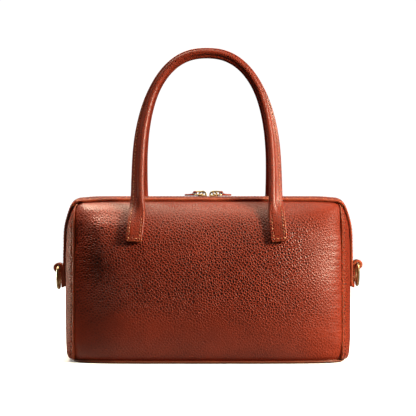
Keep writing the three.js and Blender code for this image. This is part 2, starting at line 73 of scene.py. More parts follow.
# Full-grain cowhide, drum tumbled: soft round pebbles with dark creases, a waxy broad sheen.
def pebbledLeather(name, look):
    material, tree, place = newMaterial(name)
    drift = addNode(tree, "ShaderNodeTexNoise", {"Vector": place, "Scale": 1000 / 7, "Detail": 1.0})
    wander = {0: drift.outputs["Color"], 1: (look["wanderMm"] * mm,) * 3, 2: place}
    grid = addNode(tree, "ShaderNodeVectorMath", wander, operation="MULTIPLY_ADD")
    spread = "3D"
    if look["plane"]:  # laid out flat on a grid set aslant, so that no pebble is cut short
        first, second = ("XYZ".index(axis) for axis in look["plane"])
        slants = np.zeros((2, 3))
        slants[:, first] = 0.707
        slants[:, second] = -0.707, 0.707
        sides = [
            addNode(tree, "ShaderNodeVectorMath", {0: grid, 1: way}, operation="DOT_PRODUCT")
            for way in slants.tolist()
        ]
        grid = addNode(tree, "ShaderNodeCombineXYZ", dict(zip("XY", sides)))
        spread = "2D"
    cells = addNode(
        tree,
        "ShaderNodeTexVoronoi",
        {"Vector": grid, "Scale": 1000 / look["pebbleMm"], "Randomness": 0.9},
        voronoi_dimensions=spread,
        feature="DISTANCE_TO_EDGE",
    )
    pits = {"Value": cells, "From Min": 0.03, "From Max": 0.42, "To Min": 1.0, "To Max": 0.0}
    pebble = addNode(tree, "ShaderNodeMapRange", pits, interpolation_type="SMOOTHSTEP")
    pores = {"Vector": place, "Scale": 1000 / look["grainMm"], "Detail": 2.0, "Roughness": 0.6}
    grain = addNode(tree, "ShaderNodeTexNoise", pores)
    # puckers that run across the side seams
    stretched = {"Vector": place, "Scale": (1000 / 9, 1000 / 9, 1000 / 1.9)}
    pucker = addNode(tree, "ShaderNodeMapping", stretched)
    ridges = addNode(tree, "ShaderNodeTexNoise", {"Vector": pucker, "Scale": 1.0, "Detail": 1.0})
    gather, worn, drawn = (
        addNode(tree, "ShaderNodeAttribute", attribute_name=mark).outputs["Fac"]
        for mark in ("gather", "worn", "drawn")
    )
    wax = look["wax"]
    if look["thinsWaxAtGlints"]:  # the wax coat is thinned where the lamps glinted: painted-out glints
        glintMatt = addNode(tree, "ShaderNodeAttribute", attribute_name="glintMatt").outputs["Fac"]
        wax = addNode(tree, "ShaderNodeMapRange", {"Value": glintMatt, "To Min": wax, "To Max": 0.12 * wax})
    rough = addNode(tree, "ShaderNodeMix", {"Factor": look["grainShare"], "A": pebble, "B": grain})
    # pebbles come and go in patches 25 mm across, and fade where the hide is drawn smooth
    patch = addNode(tree, "ShaderNodeTexNoise", {"Vector": place, "Scale": 1000 / 25, "Detail": 1.0})
    calm = {"Value": patch, "From Min": 0.5, "From Max": 0.8, "To Max": 0.4}
    quiet = addNode(tree, "ShaderNodeMapRange", calm)
    faded = addNode(tree, "ShaderNodeMath", {0: drawn, 1: quiet}, operation="ADD", use_clamp=True)
    fine = addNode(tree, "ShaderNodeMapRange", {"Value": grain, "To Min": 0.45, "To Max": 0.95})
    body = addNode(tree, "ShaderNodeMix", {"Factor": faded, "A": rough, "B": fine})
    puckered = addNode(tree, "ShaderNodeMix", {"Factor": gather, "A": body, "B": ridges})
    height = addNode(tree, "ShaderNodeMix", {"Factor": worn, "A": puckered, "B": grain})
    relief = {"Distance": look["reliefMm"] * mm, "Height": height}
    bump, film = (
        addNode(tree, "ShaderNodeBump", {"Strength": strength, **relief})
        for strength in (look["bump"], look["waxBump"])
    )
    # dye: cloudy at 30 mm, with painted shade darkening the creases, paler where edges are rubbed
    clouds = {"Vector": place, "Scale": 1000 / 30, "Detail": 3.0, "Roughness": 0.55}
    cloud = addNode(tree, "ShaderNodeTexNoise", clouds)
    dyes = {"Factor": cloud, "A": linear(look["deep"]), "B": linear(look["bright"])}
    cloudy = addNode(tree, "ShaderNodeMix", dyes, data_type="RGBA")
    # painted shade: the dye is multiplied darker down into the pebbles' creases
    shade = {"Value": body, "From Min": 0.05, "From Max": 0.75, "To Min": look["paintedCreaseShade"]}
    paintedCreaseShade = addNode(tree, "ShaderNodeMapRange", shade)
    shadedInCreases = addNode(tree, "ShaderNodeVectorMath", {0: cloudy, 1: paintedCreaseShade}, operation="MULTIPLY")
    rubbed = {"Factor": worn, "A": shadedInCreases, "B": linear(look["rubbed"])}
    dye = addNode(tree, "ShaderNodeMix", rubbed, data_type="RGBA")
    sheen = {"Value": body, "To Min": look["roughness"] + 0.16, "To Max": look["roughness"]}
    gloss = addNode(tree, "ShaderNodeMapRange", sheen)
    skin = {
        "Base Color": dye,
        "Roughness": gloss,
        "Normal": bump,
        "IOR": 1.48,
        "Specular IOR Level": look["specular"],
        "Coat Weight": wax,
        "Coat Roughness": look["waxRoughness"],
        "Coat Normal": film,
    }
    cover = addNode(tree, "ShaderNodeBsdfPrincipled", skin)
    addNode(tree, "ShaderNodeOutputMaterial", {"Surface": cover})
    return material


wallLook = {
    "plane": "XZ",  # the axes that the pebbles are laid out on
    "wanderMm": 1.6,
    "pebbleMm": 2.4,
    "grainMm": 0.7,
    "grainShare": 0.3,
    "reliefMm": 1.15,
    "bump": 1.0,
    "waxBump": 0.36,  # the wax film lies more evenly than the grain
    "deep": "#6c200e",
    "bright": "#922f18",
    "rubbed": "#a04028",
    # how dark the painted shade in the creases gets
    "paintedCreaseShade": 0.06,
    "roughness": 0.46,
    "specular": 0.12,
    "wax": 0.5,
    "waxRoughness": 0.36,
    "thinsWaxAtGlints": True,
}
wallLeather = pebbledLeather("leather tumbled full grain", wallLook)
endLook = {**wallLook, "thinsWaxAtGlints": False, "plane": "YZ", "reliefMm": 0.5, "specular": 0.1, "wax": 0.2}
endLeather = pebbledLeather("leather tumbled full grain, end", endLook)
# the left end's copy is made almost matt, taking out the left lamp's grazing reflection: a painted-out
# reflection
mattLeftEndLook = {**endLook, "specular": 0.02, "wax": 0.03}
mattLeftEndLeather = pebbledLeather("leather tumbled full grain, end made matt against glints", mattLeftEndLook)
stripLook = {**wallLook, "thinsWaxAtGlints": False, "plane": "", "reliefMm": 0.7}
stripLeather = pebbledLeather("leather tumbled full grain, strip", stripLook)
# the handles' creases take less painted shade
handleLook = {**stripLook, "pebbleMm": 1.7, "reliefMm": 0.4, "paintedCreaseShade": 0.16, "wax": 0.45}
handleLeather = pebbledLeather("leather rolled and handled", handleLook)


# How every plainer finish ends: two dyes mixed by a tint, fine relief, and a skin with its own gloss.
def coverWith(tree, look, tint, height, skin):
    colours = {"Factor": tint, "A": linear(look["dark"]), "B": linear(look["pale"])}
    dye = addNode(tree, "ShaderNodeMix", colours, data_type="RGBA")
    relief = {"Strength": look["bump"], "Distance": look["reliefMm"] * mm, "Height": height}
    bump = addNode(tree, "ShaderNodeBump", relief)
    cover = addNode(tree, "ShaderNodeBsdfPrincipled", {"Base Color": dye, "Normal": bump, **skin})
    addNode(tree, "ShaderNodeOutputMaterial", {"Surface": cover})


# The cut edge of the hide, dyed and burnished: orange-brown, a little fibrous, satin.
def burnishedEdge(name, look):
    material, tree, place = newMaterial(name)
    fibre = addNode(tree, "ShaderNodeTexNoise", {"Vector": place, "Scale": 1000 / 0.9, "Detail": 3.0})
    patch = addNode(tree, "ShaderNodeTexNoise", {"Vector": place, "Scale": 1000 / 14, "Detail": 2.0})
    mixed = addNode(tree, "ShaderNodeMath", {0: fibre, 1: patch}, operation="MULTIPLY")
    tint = addNode(tree, "ShaderNodeMapRange", {"Value": mixed, "From Min": 0.1, "From Max": 0.42})
    glow = {
        "Subsurface Weight": look["glow"],
        "Subsurface Scale": look["glowMm"] * mm,
        "Subsurface Radius": (1.0, 0.35, 0.15),
    }
    coverWith(tree, look, tint, fibre, {"Roughness": 0.5, **glow})
    return material


edgeLook = {"dark": "#8f3a20", "pale": "#bd5c36", "bump": 0.5, "reliefMm": 0.15, "glow": 0.6, "glowMm": 2}
cutEdge = burnishedEdge("leather edge burnished", edgeLook)
# the base's cut edge is a darker copy of the burnished edge: painted shade under the walls' bulge
shadedBaseEdgeLook = {**edgeLook, "dark": "#632514", "pale": "#844023", "glow": 0.0}
shadedBaseEdge = burnishedEdge("leather edge burnished, painted shade at the base", shadedBaseEdgeLook)


# The flesh side of the hide: brushed suede, matt and fibrous.
def fleshSide(name, look):
    material, tree, place = newMaterial(name)
    fibres = {"Vector": place, "Scale": 1000 / 1.2, "Detail": 4.0, "Roughness": 0.7}
    nap = addNode(tree, "ShaderNodeTexNoise", fibres)
    coverWith(tree, look, nap, nap, {"Roughness": 0.9, "Sheen Weight": 0.3})
    return material


suedeLook = {"dark": "#5a2c1d", "pale": "#8a5138", "bump": 0.6, "reliefMm": 0.2}
suede = fleshSide("leather flesh side brushed", suedeLook)


# Waxed polyester thread, twisted: tonal, with fine slanting plies.
def waxedThread(name, look):
    material, tree, place = newMaterial(name)
    twist = {"Vector": place, "Scale": 1000 / 0.5 / 20, "Distortion": 1.0}  # plies 0.5 mm apart
    ply = addNode(tree, "ShaderNodeTexWave", twist, bands_direction="DIAGONAL").outputs["Fac"]
    coverWith(tree, look, ply, ply, {"Roughness": 0.45})
    return material


threadLook = {"dark": "#8c4029", "pale": "#c88259", "bump": 0.4, "reliefMm": 0.08}
thread = waxedThread("thread waxed and twisted", threadLook)
# a darker copy of the same thread, for the long seams at the ends
seamThread = waxedThread("thread waxed, darker copy for the end seams", {**threadLook, "dark": "#6a2a18", "pale": "#96492e"})


# Cast brass, tumbled and aged: warm pale gold, darker in cloudy patches, fine scuffs.
def agedBrass(name, look):
    material, tree, place = newMaterial(name)
    clouds = {"Vector": place, "Scale": 1000 / 5, "Detail": 4.0, "Roughness": 0.6}
    patina = addNode(tree, "ShaderNodeTexNoise", clouds)
    scuff = addNode(tree, "ShaderNodeTexNoise", {"Vector": place, "Scale": 1000 / 0.4, "Detail": 2.0})
    tint = addNode(tree, "ShaderNodeMapRange", {"Value": patina, "From Min": 0.32, "From Max": 0.62})
    dulled = {"Value": patina, "From Min": 0.3, "From Max": 0.7, "To Min": 0.46, "To Max": 0.28}
    gloss = addNode(tree, "ShaderNodeMapRange", dulled)
    coverWith(tree, look, tint, scuff, {"Metallic": 1.0, "Roughness": gloss})
    return material


brassLook = {"dark": "#8d7046", "pale": "#d6bd8e", "bump": 0.25, "reliefMm": 0.05}
brass = agedBrass("brass tumbled and aged", brassLook)


# Woven polyester zip tape: a fine twill, dark red-brown, matt.
def wovenTape(name, look):
    material, tree, place = newMaterial(name)
    yarn = {"Vector": place, "Scale": 1000 / 0.8 / 20, "Distortion": 0.4}  # yarns 0.8 mm apart
    ways = [
        addNode(tree, "ShaderNodeTexWave", yarn, bands_direction=way).outputs["Fac"]
        for way in ("X", "DIAGONAL")
    ]
    weave = addNode(tree, "ShaderNodeMath", dict(enumerate(ways)), operation="MULTIPLY")
    coverWith(tree, look, weave, weave, {"Roughness": 0.85})
    return material


tapeLook = {"dark": "#34140f", "pale": "#6b2f22", "bump": 0.6, "reliefMm": 0.15}
tapeCloth = wovenTape("polyester tape woven", tapeLook)
print("materials made")


# The stuffed bag's outer form. Each level section is |x/halfLength|^n + |y/halfDepth|^n = 1.
bagForm = {
    "sections": [  # height, half length, half depth, squareness n
        (2.6, 117.2, 52.5, 5.0),
        (6, 119.4, 54.8, 5.0),
        (14, 120.6, 57.8, 4.4),
        (35, 121.2, 61.6, 3.6),
        (68, 121.5, 63.0, 3.3),
        (95, 121.2, 60.2, 3.4),
        (112, 120.1, 55.8, 4.0),
        (124, 117.9, 50.0, 5.4),
        (131, 115.8, 44.5, 6.6),
        (135.2, 113.4, 38.0, 7.6),
        (137.7, 110.2, 31.0, 8.0),
        (139.1, 104.0, 20.0, 8.0),
        (139.8, 90.0, 0.0, 8.0),
    ],
    "leather": 2.0,  # thickness of every wall
    "gap": 0.4,  # clear space between layers
    "spine": {"halfLength": 121.0, "top": 139.8, "cornerRadius": 25.0, "tip": 64.0},
}
leather, gap = bagForm["leather"], bagForm["gap"]
layer = leather + gap


# A smooth curve through one column of a table.
def through(keys, values):
    keys, values = np.array(keys, float), np.array(values, float)
    last = len(keys) - 1
    before, after = np.maximum(np.arange(last + 1) - 1, 0), np.minimum(np.arange(last + 1) + 1, last)
    slopes = (values[after] - values[before]) / (keys[after] - keys[before])

    def at(x):
        x = np.clip(x, keys[0], keys[-1])
        i = np.clip(np.searchsorted(keys, x) - 1, 0, last - 1)
        step = keys[i + 1] - keys[i]
        t = (x - keys[i]) / step
        bend = step * t * (1 - t) * ((1 - t) * slopes[i] - t * slopes[i + 1])
        return values[i] + (values[i + 1] - values[i]) * t * t * (3 - 2 * t) + bend

    return at


# Points of a centripetal Catmull-Rom curve.
def smoothCurve(points, perSpan):
    points = np.array(points, float)
    ends = np.vstack([2 * points[0] - points[1], points, 2 * points[-1] - points[-2]])
    t = np.linspace(0, 1, perSpan, endpoint=False)[:, None]
    line = []
    for p0, p1, p2, p3 in zip(ends, ends[1:], ends[2:], ends[3:]):
        d0, d1, d2 = (np.linalg.norm(b - a) ** 0.5 for a, b in ((p0, p1), (p1, p2), (p2, p3)))
        t1 = ((p1 - p0) / d0 - (p2 - p0) / (d0 + d1) + (p2 - p1) / d1) * d1
        t2 = ((p2 - p1) / d1 - (p3 - p1) / (d1 + d2) + (p3 - p2) / d2) * d1
        line.append(p1 + t1 * t + (3 * (p2 - p1) - 2 * t1 - t2) * t**2 + (2 * (p1 - p2) + t1 + t2) * t**3)
    return np.vstack([*line, points[-1:]])


def ease(low, high, x):
    t = np.clip((x - low) / (high - low), 0, 1)
    return t * t * (3 - 2 * t)


sections = np.array(bagForm["sections"])
crownRow = sections[-2, [1, 2, 0]] * [1, -1, 1]  # mirrored past the crown, so that the form closes level
profile = smoothCurve(np.vstack([sections[:, [1, 2, 0]], crownRow]), 70)[: 70 * (len(sections) - 1) + 1]
squareness = through(sections[:, 0], sections[:, 3])


def halfLengthAt(z):
    return np.interp(z, profile[:, 2], profile[:, 0])


def halfDepthAt(z):
    return np.maximum(np.interp(z, profile[:, 2], profile[:, 1]), 1e-4)


def isInside(p):
    x, y, z = np.abs(p[..., 0]), np.abs(p[..., 1]), p[..., 2]
    n = squareness(z)
    return ((x / halfLengthAt(z)) ** n + (y / halfDepthAt(z)) ** n < 1) & (z < sections[-1, 0])


# Where rays from inside the bag leave the form.
def onForm(origin, direction):
    near, far = np.zeros(origin.shape[:-1]), np.full(origin.shape[:-1], 160.0)
    for _ in range(30):
        middle = (near + far) / 2
        kept = isInside(origin + direction * middle[..., None])
        near, far = np.where(kept, middle, near), np.where(kept, far, middle)
    return origin + direction * near[..., None]


def points3(x, y, z):
    return np.stack(np.broadcast_arrays(np.asarray(x, float), y, z), axis=-1)


def frontPatch(x, z):
    return onForm(points3(x, 0, z), np.array([0.0, -1, 0]))


def endPatch(y, z):
    return onForm(points3(0, y, z), np.array([-1.0, 0, 0]))


spine = bagForm["spine"]
cornerStart = spine["halfLength"] - spine["cornerRadius"]
cornerLength = spine["cornerRadius"] * math.pi / 2
stripReach = cornerStart + cornerLength + spine["top"] - spine["cornerRadius"] - spine["tip"]


# Over the top and down both ends: reach is signed from the middle.
def overPatch(reach, y):
    side, far = np.where(reach < 0, -1.0, 1.0), np.abs(reach)
    turn = np.clip((far - cornerStart) / cornerLength, 0, 1) * math.pi / 2
    down = np.maximum(far - cornerStart - cornerLength, 0)
    origin = points3(side * np.minimum(far, cornerStart), y, spine["top"] - spine["cornerRadius"] - down)
    return onForm(origin, points3(side * np.sin(turn), 0, np.cos(turn)))


def unit(vectors):
    return vectors / np.linalg.norm(vectors, axis=-1, keepdims=True)


def unitAcross(vectors, axes):  # with the share along the axes taken out
    return unit(vectors - axes * np.sum(vectors * axes, axis=-1, keepdims=True))


def surface(patch, a, b):
    p = patch(a, b)
    alongA, alongB = patch(a + 0.4, b) - patch(a - 0.4, b), patch(a, b + 0.4) - patch(a, b - 0.4)
    normal = unit(np.cross(alongA, alongB))
    out = np.sum(normal * (p - [0, 0, 68]), axis=-1, keepdims=True)
    return p, np.where(out < 0, -normal, normal)


def raised(patch, a, b, offset):
    p, normal = surface(patch, a, b)
    return p + normal * np.asarray(offset)[..., None]


def gathered(steps):  # steps from -1 to 1 that gather at both ends
    return np.sin(np.linspace(-1, 1, steps) * math.pi / 2.12) / math.sin(math.pi / 2.12)


def halfTurn(points):  # round the upright axis, for a piece's twin
    return np.asarray(points) * [-1, -1, 1]


def placed(name, data):
    thing = bpy.data.objects.new(name, data)
    scene.collection.objects.link(thing)
    return thing


def newPiece(name, points, faces, materials, faceMaterials=None, marks=None, turn=False):
    points = halfTurn(points) if turn else np.asarray(points)
    mesh = bpy.data.meshes.new(name)
    mesh.from_pydata((points * mm).tolist(), [], faces)
    for material in materials:
        mesh.materials.append(material)
    if faceMaterials is not None:
        mesh.polygons.foreach_set("material_index", np.asarray(faceMaterials, dtype=np.int32))
    mesh.polygons.foreach_set("use_smooth", [True] * len(mesh.polygons))
    for key, values in (marks or {}).items():
        mark = mesh.attributes.new(key, "FLOAT", "POINT")
        mark.data.foreach_set("value", np.asarray(values, dtype=np.float32))
    mesh.update()
    return placed(name, mesh)


def fasten(piece, slotName, *nodes, body="bag"):
    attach(piece, body)
    if nodes:
        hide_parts(*nodes)
    return piece


# A leather sheet over a patch of the form: grain outside, flesh inside, a rounded cut edge all round.
def sheetParts(patch, a, b, outer, marks, thickness=leather):
    p, normal = surface(patch, a, b)
    top, under = p + normal * outer[..., None], p + normal * (outer - thickness)[..., None]
    for grid in (top, under):
        grid[..., 2] = np.maximum(grid[..., 2], sections[0, 0])
    top, under, normal = (grid.reshape(-1, 3) for grid in (top, under, normal))
    rows, columns = a.shape
    count = rows * columns
    index = np.arange(count).reshape(rows, columns)
    border = np.concatenate([index[0, :-1], index[:-1, -1], index[-1, :0:-1], index[:0:-1, 0]])
    inward = index[np.clip(border // columns, 1, rows - 2), np.clip(border % columns, 1, columns - 2)]
    edgeOut = unitAcross(top[border] - top[inward], normal[border])
    rings, loops = [border], []
    for s in (0.02, 0.08, 0.2, 0.5, 0.8, 0.92, 0.98):  # loops through the thickness
        bulge = 0.45 * (1 - abs(2 * s - 1) ** 3.2) ** (1 / 3.2)
        loop = top[border] * (1 - s) + under[border] * s + edgeOut * bulge
        loop[:, 2] = np.maximum(loop[:, 2], sections[0, 0] - 0.25)
        rings.append(2 * count + len(loops) * len(border) + np.arange(len(border)))
        loops.append(loop)
    rings.append(border + count)
    corners = [index[:-1, :-1], index[1:, :-1], index[1:, 1:], index[:-1, 1:]]
    quads = np.stack(corners, axis=-1).reshape(-1, 4)
    first = top[quads[0]]
    if np.dot(np.cross(first[1] - first[0], first[3] - first[0]), normal[quads[0, 0]]) < 0:
        quads = quads[:, ::-1]
    faces = [quads, quads[:, ::-1] + count]
    for one, two in zip(rings, rings[1:]):
        faces.append(np.stack([one, np.roll(one, -1), np.roll(two, -1), two], axis=-1))
    faces = np.vstack(faces)
    kinds = np.repeat([0, 2, 1], [len(quads), len(quads), len(faces) - 2 * len(quads)])
    points = np.vstack([top, under, *loops])
    spare = np.zeros(len(points) - count)
    marks = {key: np.concatenate([values.ravel(), spare]) for key, values in marks.items()}
    return points, faces.tolist(), kinds, marks


# A sheet is dressed as grain, cut edge and flesh side, and sewn in place.
def laySheet(name, node, grainSide, parts, turn):
    points, faces, kinds, marks = parts
    piece = newPiece(name, points, faces, [grainSide, cutEdge, suede], kinds, marks, turn)
    return fasten(piece, "leather", node)


# A soft unevenness of stuffed leather: a few long waves, of fixed phases.
def softWaves(u, v, seed, depth):
    rng = np.random.default_rng(seed)
    total = np.zeros(np.broadcast(u, v).shape)
    for _ in range(7):
        length, angle, phase = rng.uniform(38, 95), rng.uniform(0, math.pi), rng.uniform(0, 2 * math.pi)
        total += np.sin((u * math.cos(angle) + v * math.sin(angle)) * 2 * math.pi / length + phase)
    return total * depth / 2.6


def bell(distance, reach):
    return np.exp(-((distance / reach) ** 2))


def levels(look):  # heights from the base to a wall's top, closer together at both
    return sections[0, 0] + (look["top"] - sections[0, 0]) * (gathered(look["rows"])[:, None] + 1) / 2


bigPanel = {
    "seamHalfLength": 113.4,  # where the end panels' cut edges lie
    "cornerInset": 1.8,
    "underlap": 5.0,
    "top": 138.6,
    "columns": 190,
    "rows": 140,
    "seamDip": 0.15,  # the wall is drawn in along the seams
    "dipReach": 3.2,
    "waves": 0.35,
    "pucker": 0.1,
    "puckerPitch": 6.5,
    "gatherReach": 13.0,  # puckers fade over this distance from the side seams
    "held": 0.5,  # rise of the top border where the strip climbs on to the end walls
    "shoulder": 3.4,  # how far stuffing fills one shoulder out
    "pressed": (1.3, 1.5),  # rise against the end walls' cut edges, left and right
    "pressedReach": 9,
    "drawn": 0.75,  # how smooth the hide is drawn at the top and the foot
    "drawnSide": 0.6,
    "flat": (0.2611, 0.1549),
    "area": 0.03886,
}


def seamAt(z):
    return np.minimum(bigPanel["seamHalfLength"], halfLengthAt(z) - bigPanel["cornerInset"])


def makeBigPanel(name, node, seed, turn):
    look = bigPanel
    z = levels(look)
    edge = np.minimum(seamAt(z) + look["underlap"], halfLengthAt(z) - look["cornerInset"] / 2)
    x = gathered(look["columns"])[None, :] * edge
    z = np.broadcast_to(z, x.shape)
    fromSeam = seamAt(z) - np.abs(x)
    inSeam = np.maximum(fromSeam, 0)
    dip = look["seamDip"] * bell(inSeam, look["dipReach"]) * ease(-6, 0, fromSeam)
    inner = ease(0, 14, fromSeam) * ease(3, 20, z) * ease(132, 106, z)
    gather = bell(inSeam, look["gatherReach"]) * ease(12, 30, z) * ease(128, 105, z)
    wander = 1.3 * np.sin(z / 9 + seed)
    pucker = look["pucker"] * gather * np.sin(z * 2 * math.pi / look["puckerPitch"] + wander)
    held = look["held"] * ease(102, 108, np.abs(x)) * ease(113.4, 111.5, np.abs(x)) * ease(130, 136, z)
    full = look["shoulder"] * ease(55, 98, -x) * ease(128, 114, z) * ease(62, 106, z)
    full = full * ease(-0.6, 26, fromSeam)
    pressed = np.where(x < 0, *look["pressed"]) * ease(-0.9, 0.25, fromSeam)
    pressed = pressed * bell(fromSeam, look["pressedReach"])
    full = np.maximum(full, pressed * ease(6, 18, z) * ease(128, 88, z))
    outer = softWaves(x, z, seed, look["waves"]) * inner - dip + pucker + held + full
    drawn = look["drawn"] * np.maximum(ease(108, 133, z), ease(60, 26, z))
    drawn = np.maximum(drawn, look["drawnSide"] * ease(62, 104, x))
    # painted-out glints: the wax coat is taken off the two corners of one side and the other shoulder's
    # flank, where the lamps glinted
    glintMattTop = ease(104, 122, z) * ease(134, 127, z) * ease(66, 98, x)
    glintMattFoot = ease(62, 34, z) * ease(70, 100, x)
    glintMattFlank = ease(86, 100, -x) * ease(56, 80, z) * ease(114, 102, z)
    glintMatt = np.max([glintMattTop, glintMattFoot, glintMattFlank], axis=0)
    marks = {"gather": 0.55 * gather, "worn": np.zeros_like(x), "drawn": drawn, "glintMatt": glintMatt}
    parts = sheetParts(frontPatch, x, z, outer, marks)
    return laySheet(name, node, wallLeather, parts, turn)


makeBigPanel("wall_front", "panel_front", 4, False)
makeBigPanel("wall_back", "panel_back", 9, True)
print("big walls made")

stitchLines = []  # (points, outward directions) of the sewn lines on tabs, strips and handles
seamLines = []  # the same for the long seams at the ends


def addSeam(lines, line, up, turn):
    lines.append((halfTurn(line), halfTurn(up)) if turn else (line, up))


endPanel = {
    "top": 134.5,
    "skived": 1.0,  # thickness of the top border, thinned to lie flat under the strips
    "skiveStart": 114.0,
    "skiveEnd": 131.0,
    "columns": 90,
    "rows": 130,
    "stitchInset": 2.3,
    "groove": 0.35,
    "grooveReach": 0.75,
    "waves": 0.12,
    "pillow": 0.12,  # fullness inside the seams
    "pillowMost": 0.25,
    "worn": 0.5,  # rubbing along the cut edges
    "wornReach": 0.9,
    "sunk": 0.2,  # depth of the stitches
    "flat": (0.0866, 0.1337),
    "area": 0.0107,
}


def endThickness(z):
    return leather + (endPanel["skived"] - leather) * ease(endPanel["skiveStart"], endPanel["skiveEnd"], z)


def endEdge(z):
    n = squareness(z)
    return halfDepthAt(z) * (1 - (seamAt(z) / halfLengthAt(z)) ** n) ** (1 / n)


def makeEndPanel(name, node, grainSide, seed, turn):
    look = endPanel
    z = levels(look)
    y = gathered(look["columns"])[None, :] * endEdge(z)
    z = np.broadcast_to(z, y.shape)
    p, normal = surface(endPatch, y, z)
    # distance from the cut edges, along the section
    steps = np.linalg.norm(np.diff(p, axis=1), axis=2)
    along = np.concatenate([np.zeros((len(z), 1)), np.cumsum(steps, axis=1)], axis=1)
    fromEdge = np.minimum(along, along[:, -1:] - along)
    groove = look["groove"] * bell(fromEdge - look["stitchInset"], look["grooveReach"])
    waves = softWaves(y, z, seed, look["waves"]) * ease(6, 20, fromEdge)
    pillow = look["pillow"] * ease(3, 9, fromEdge) + waves
    thickness = endThickness(z)
    outer = gap + thickness - groove + np.minimum(pillow, look["pillowMost"])
    worn = look["worn"] * bell(fromEdge, look["wornReach"])
    parts = sheetParts(endPatch, y, z, outer, {"worn": worn}, thickness)
    laySheet(name, node, grainSide, parts, turn)
    # the sewn line beside each cut edge
    rows = np.flatnonzero((z[:, 0] > 4.5) & (z[:, 0] < look["top"] - 1))
    last = y.shape[1] - 1
    share = np.array([np.interp(look["stitchInset"], along[r], np.arange(last + 1)) for r in rows])
    for column in (share, last - share):
        low = np.floor(column).astype(int)
        t = (column - low)[:, None]
        line = p[rows, low] * (1 - t) + p[rows, low + 1] * t
        up = normal[rows, low] * (1 - t) + normal[rows, low + 1] * t
        addSeam(seamLines, line + up * (gap + thickness[rows, :1] - look["sunk"]), up, turn)


# the left end wall takes the matt copy, with its reflection painted out
makeEndPanel("wall_left", "end_panel_left", mattLeftEndLeather, 3, False)
makeEndPanel("wall_right", "end_panel_right", endLeather, 8, True)
print("end walls made")

zipStrip = {
    "zipHalfWidth": 5.5,
    "liftStart": 105.0,  # from here to liftEnd the strips climb on to the end walls
    "liftEnd": 114.0,
    "bow": 0.3,  # spare room over the end walls' shoulders
    "columns": 34,
    "rows": 320,
    "stitchInset": 2.3,
    "groove": 0.3,
    "sunk": 0.16,
    "sewnShort": 2.5,  # the stitching ends this far from the tips
    "sewnSteps": 400,
    # reach from the middle, half width
    "widths": [(0, 31), (98, 31), (110, 30.5), (120, 27), (136, 20), (156, 15.5), (190, 13)],
    "flat": (0.0257, 0.375),
    "area": 0.00772,
}
stripHalfWidth = through(*np.array(zipStrip["widths"], float).T)


def lift(reach, y):
    z = overPatch(reach, y)[..., 2]
    climb = ease(zipStrip["liftStart"], zipStrip["liftEnd"], np.abs(reach))
    return (gap + zipStrip["bow"] * ease(95, 112, z) + endThickness(z)) * climb


def makeZipStrip(name, node, turn):
    look, border = zipStrip, endPanel
    reach = np.linspace(-stripReach, stripReach, look["rows"])[:, None]
    share = (gathered(look["columns"])[None, :] + 1) / 2
    wide = stripHalfWidth(np.abs(reach))
    y = -wide + (wide - look["zipHalfWidth"]) * share
    reach = np.broadcast_to(reach, y.shape)
    fromEdge = np.minimum(y + wide, -look["zipHalfWidth"] - y)
    fromTip = stripReach - np.abs(reach)
    groove = look["groove"] * bell(fromEdge - look["stitchInset"], border["grooveReach"])
    outer = lift(reach, y) + layer - groove * ease(1.0, 2.5, fromTip)
    worn = border["worn"] * bell(np.minimum(fromEdge, fromTip), border["wornReach"])
    parts = sheetParts(overPatch, reach, y, outer, {"worn": worn})
    laySheet(name, node, stripLeather, parts, turn)
    end = stripReach - look["sewnShort"]
    line = np.linspace(-end, end, look["sewnSteps"])
    outerSide = look["stitchInset"] - stripHalfWidth(np.abs(line))
    zipSide = np.full(len(line), -look["zipHalfWidth"] - look["stitchInset"])
    for y in (outerSide, zipSide):
        p, up = surface(overPatch, line, y)
        addSeam(stitchLines, p + up * (lift(line, y) + layer - look["sunk"])[:, None], up, turn)


makeZipStrip("strip_front", "zip_strip_front", False)
makeZipStrip("strip_back", "zip_strip_back", True)
print("zip strips made")


# A closed or open tube of loops, capped where it is open.
def loftFaces(loopCount, sides, closed):
    index = np.arange(loopCount * sides).reshape(loopCount, sides)
    following = np.roll(index, -1, axis=0) if closed else index[1:]
    here = index if closed else index[:-1]
    faces = np.stack([here, np.roll(here, -1, axis=1), np.roll(following, -1, axis=1), following], axis=-1)
    faces = faces.reshape(-1, 4).tolist()
    if not closed:
        faces += [index[0, ::-1].tolist(), index[-1].tolist()]
    return faces


# Turns every face of a closed piece outwards.
def faceOut(piece):
    shell = bmesh.new()
    shell.from_mesh(piece.data)
    bmesh.ops.remove_doubles(shell, verts=shell.verts, dist=1e-7)
    bmesh.ops.recalc_face_normals(shell, faces=shell.faces)
    shell.to_mesh(piece.data)
    shell.free()
    return piece


# A lofted piece, fastened in place of its solid.
def loftPiece(name, loops, closed, materials, slotName, node, kinds=None, turn=False, body="bag"):
    faces = loftFaces(*loops.shape[:2], closed)
    piece = newPiece(name, loops.reshape(-1, 3), faces, materials, kinds, turn=turn)
    return fasten(faceOut(piece), slotName, node, body=body)


# The zip: two woven tapes under the strips, brass teeth between them.
zipTape = {"inner": 0.8, "outer": 9.5, "thickness": 0.8, "rows": 260, "columns": 10, "shortOfTip": 12.7}
zipReach = stripReach - zipTape["shortOfTip"]


def makeTape(name, node, turn):
    look = zipTape
    reach = np.linspace(-zipReach, zipReach, look["rows"])[:, None]
    columns = np.linspace(-look["outer"], -look["inner"], look["columns"])
    y = np.concatenate([columns, columns[::-1]])[None, :]
    down = np.repeat([0.0, look["thickness"]], look["columns"])
    loops = raised(overPatch, reach, y, lift(reach, y) - down)
    return loftPiece(name, loops, False, [tapeCloth], "zip_tape", node, turn=turn)


makeTape("tape_front", "zip_tape_front", False)
makeTape("tape_back", "zip_tape_back", True)


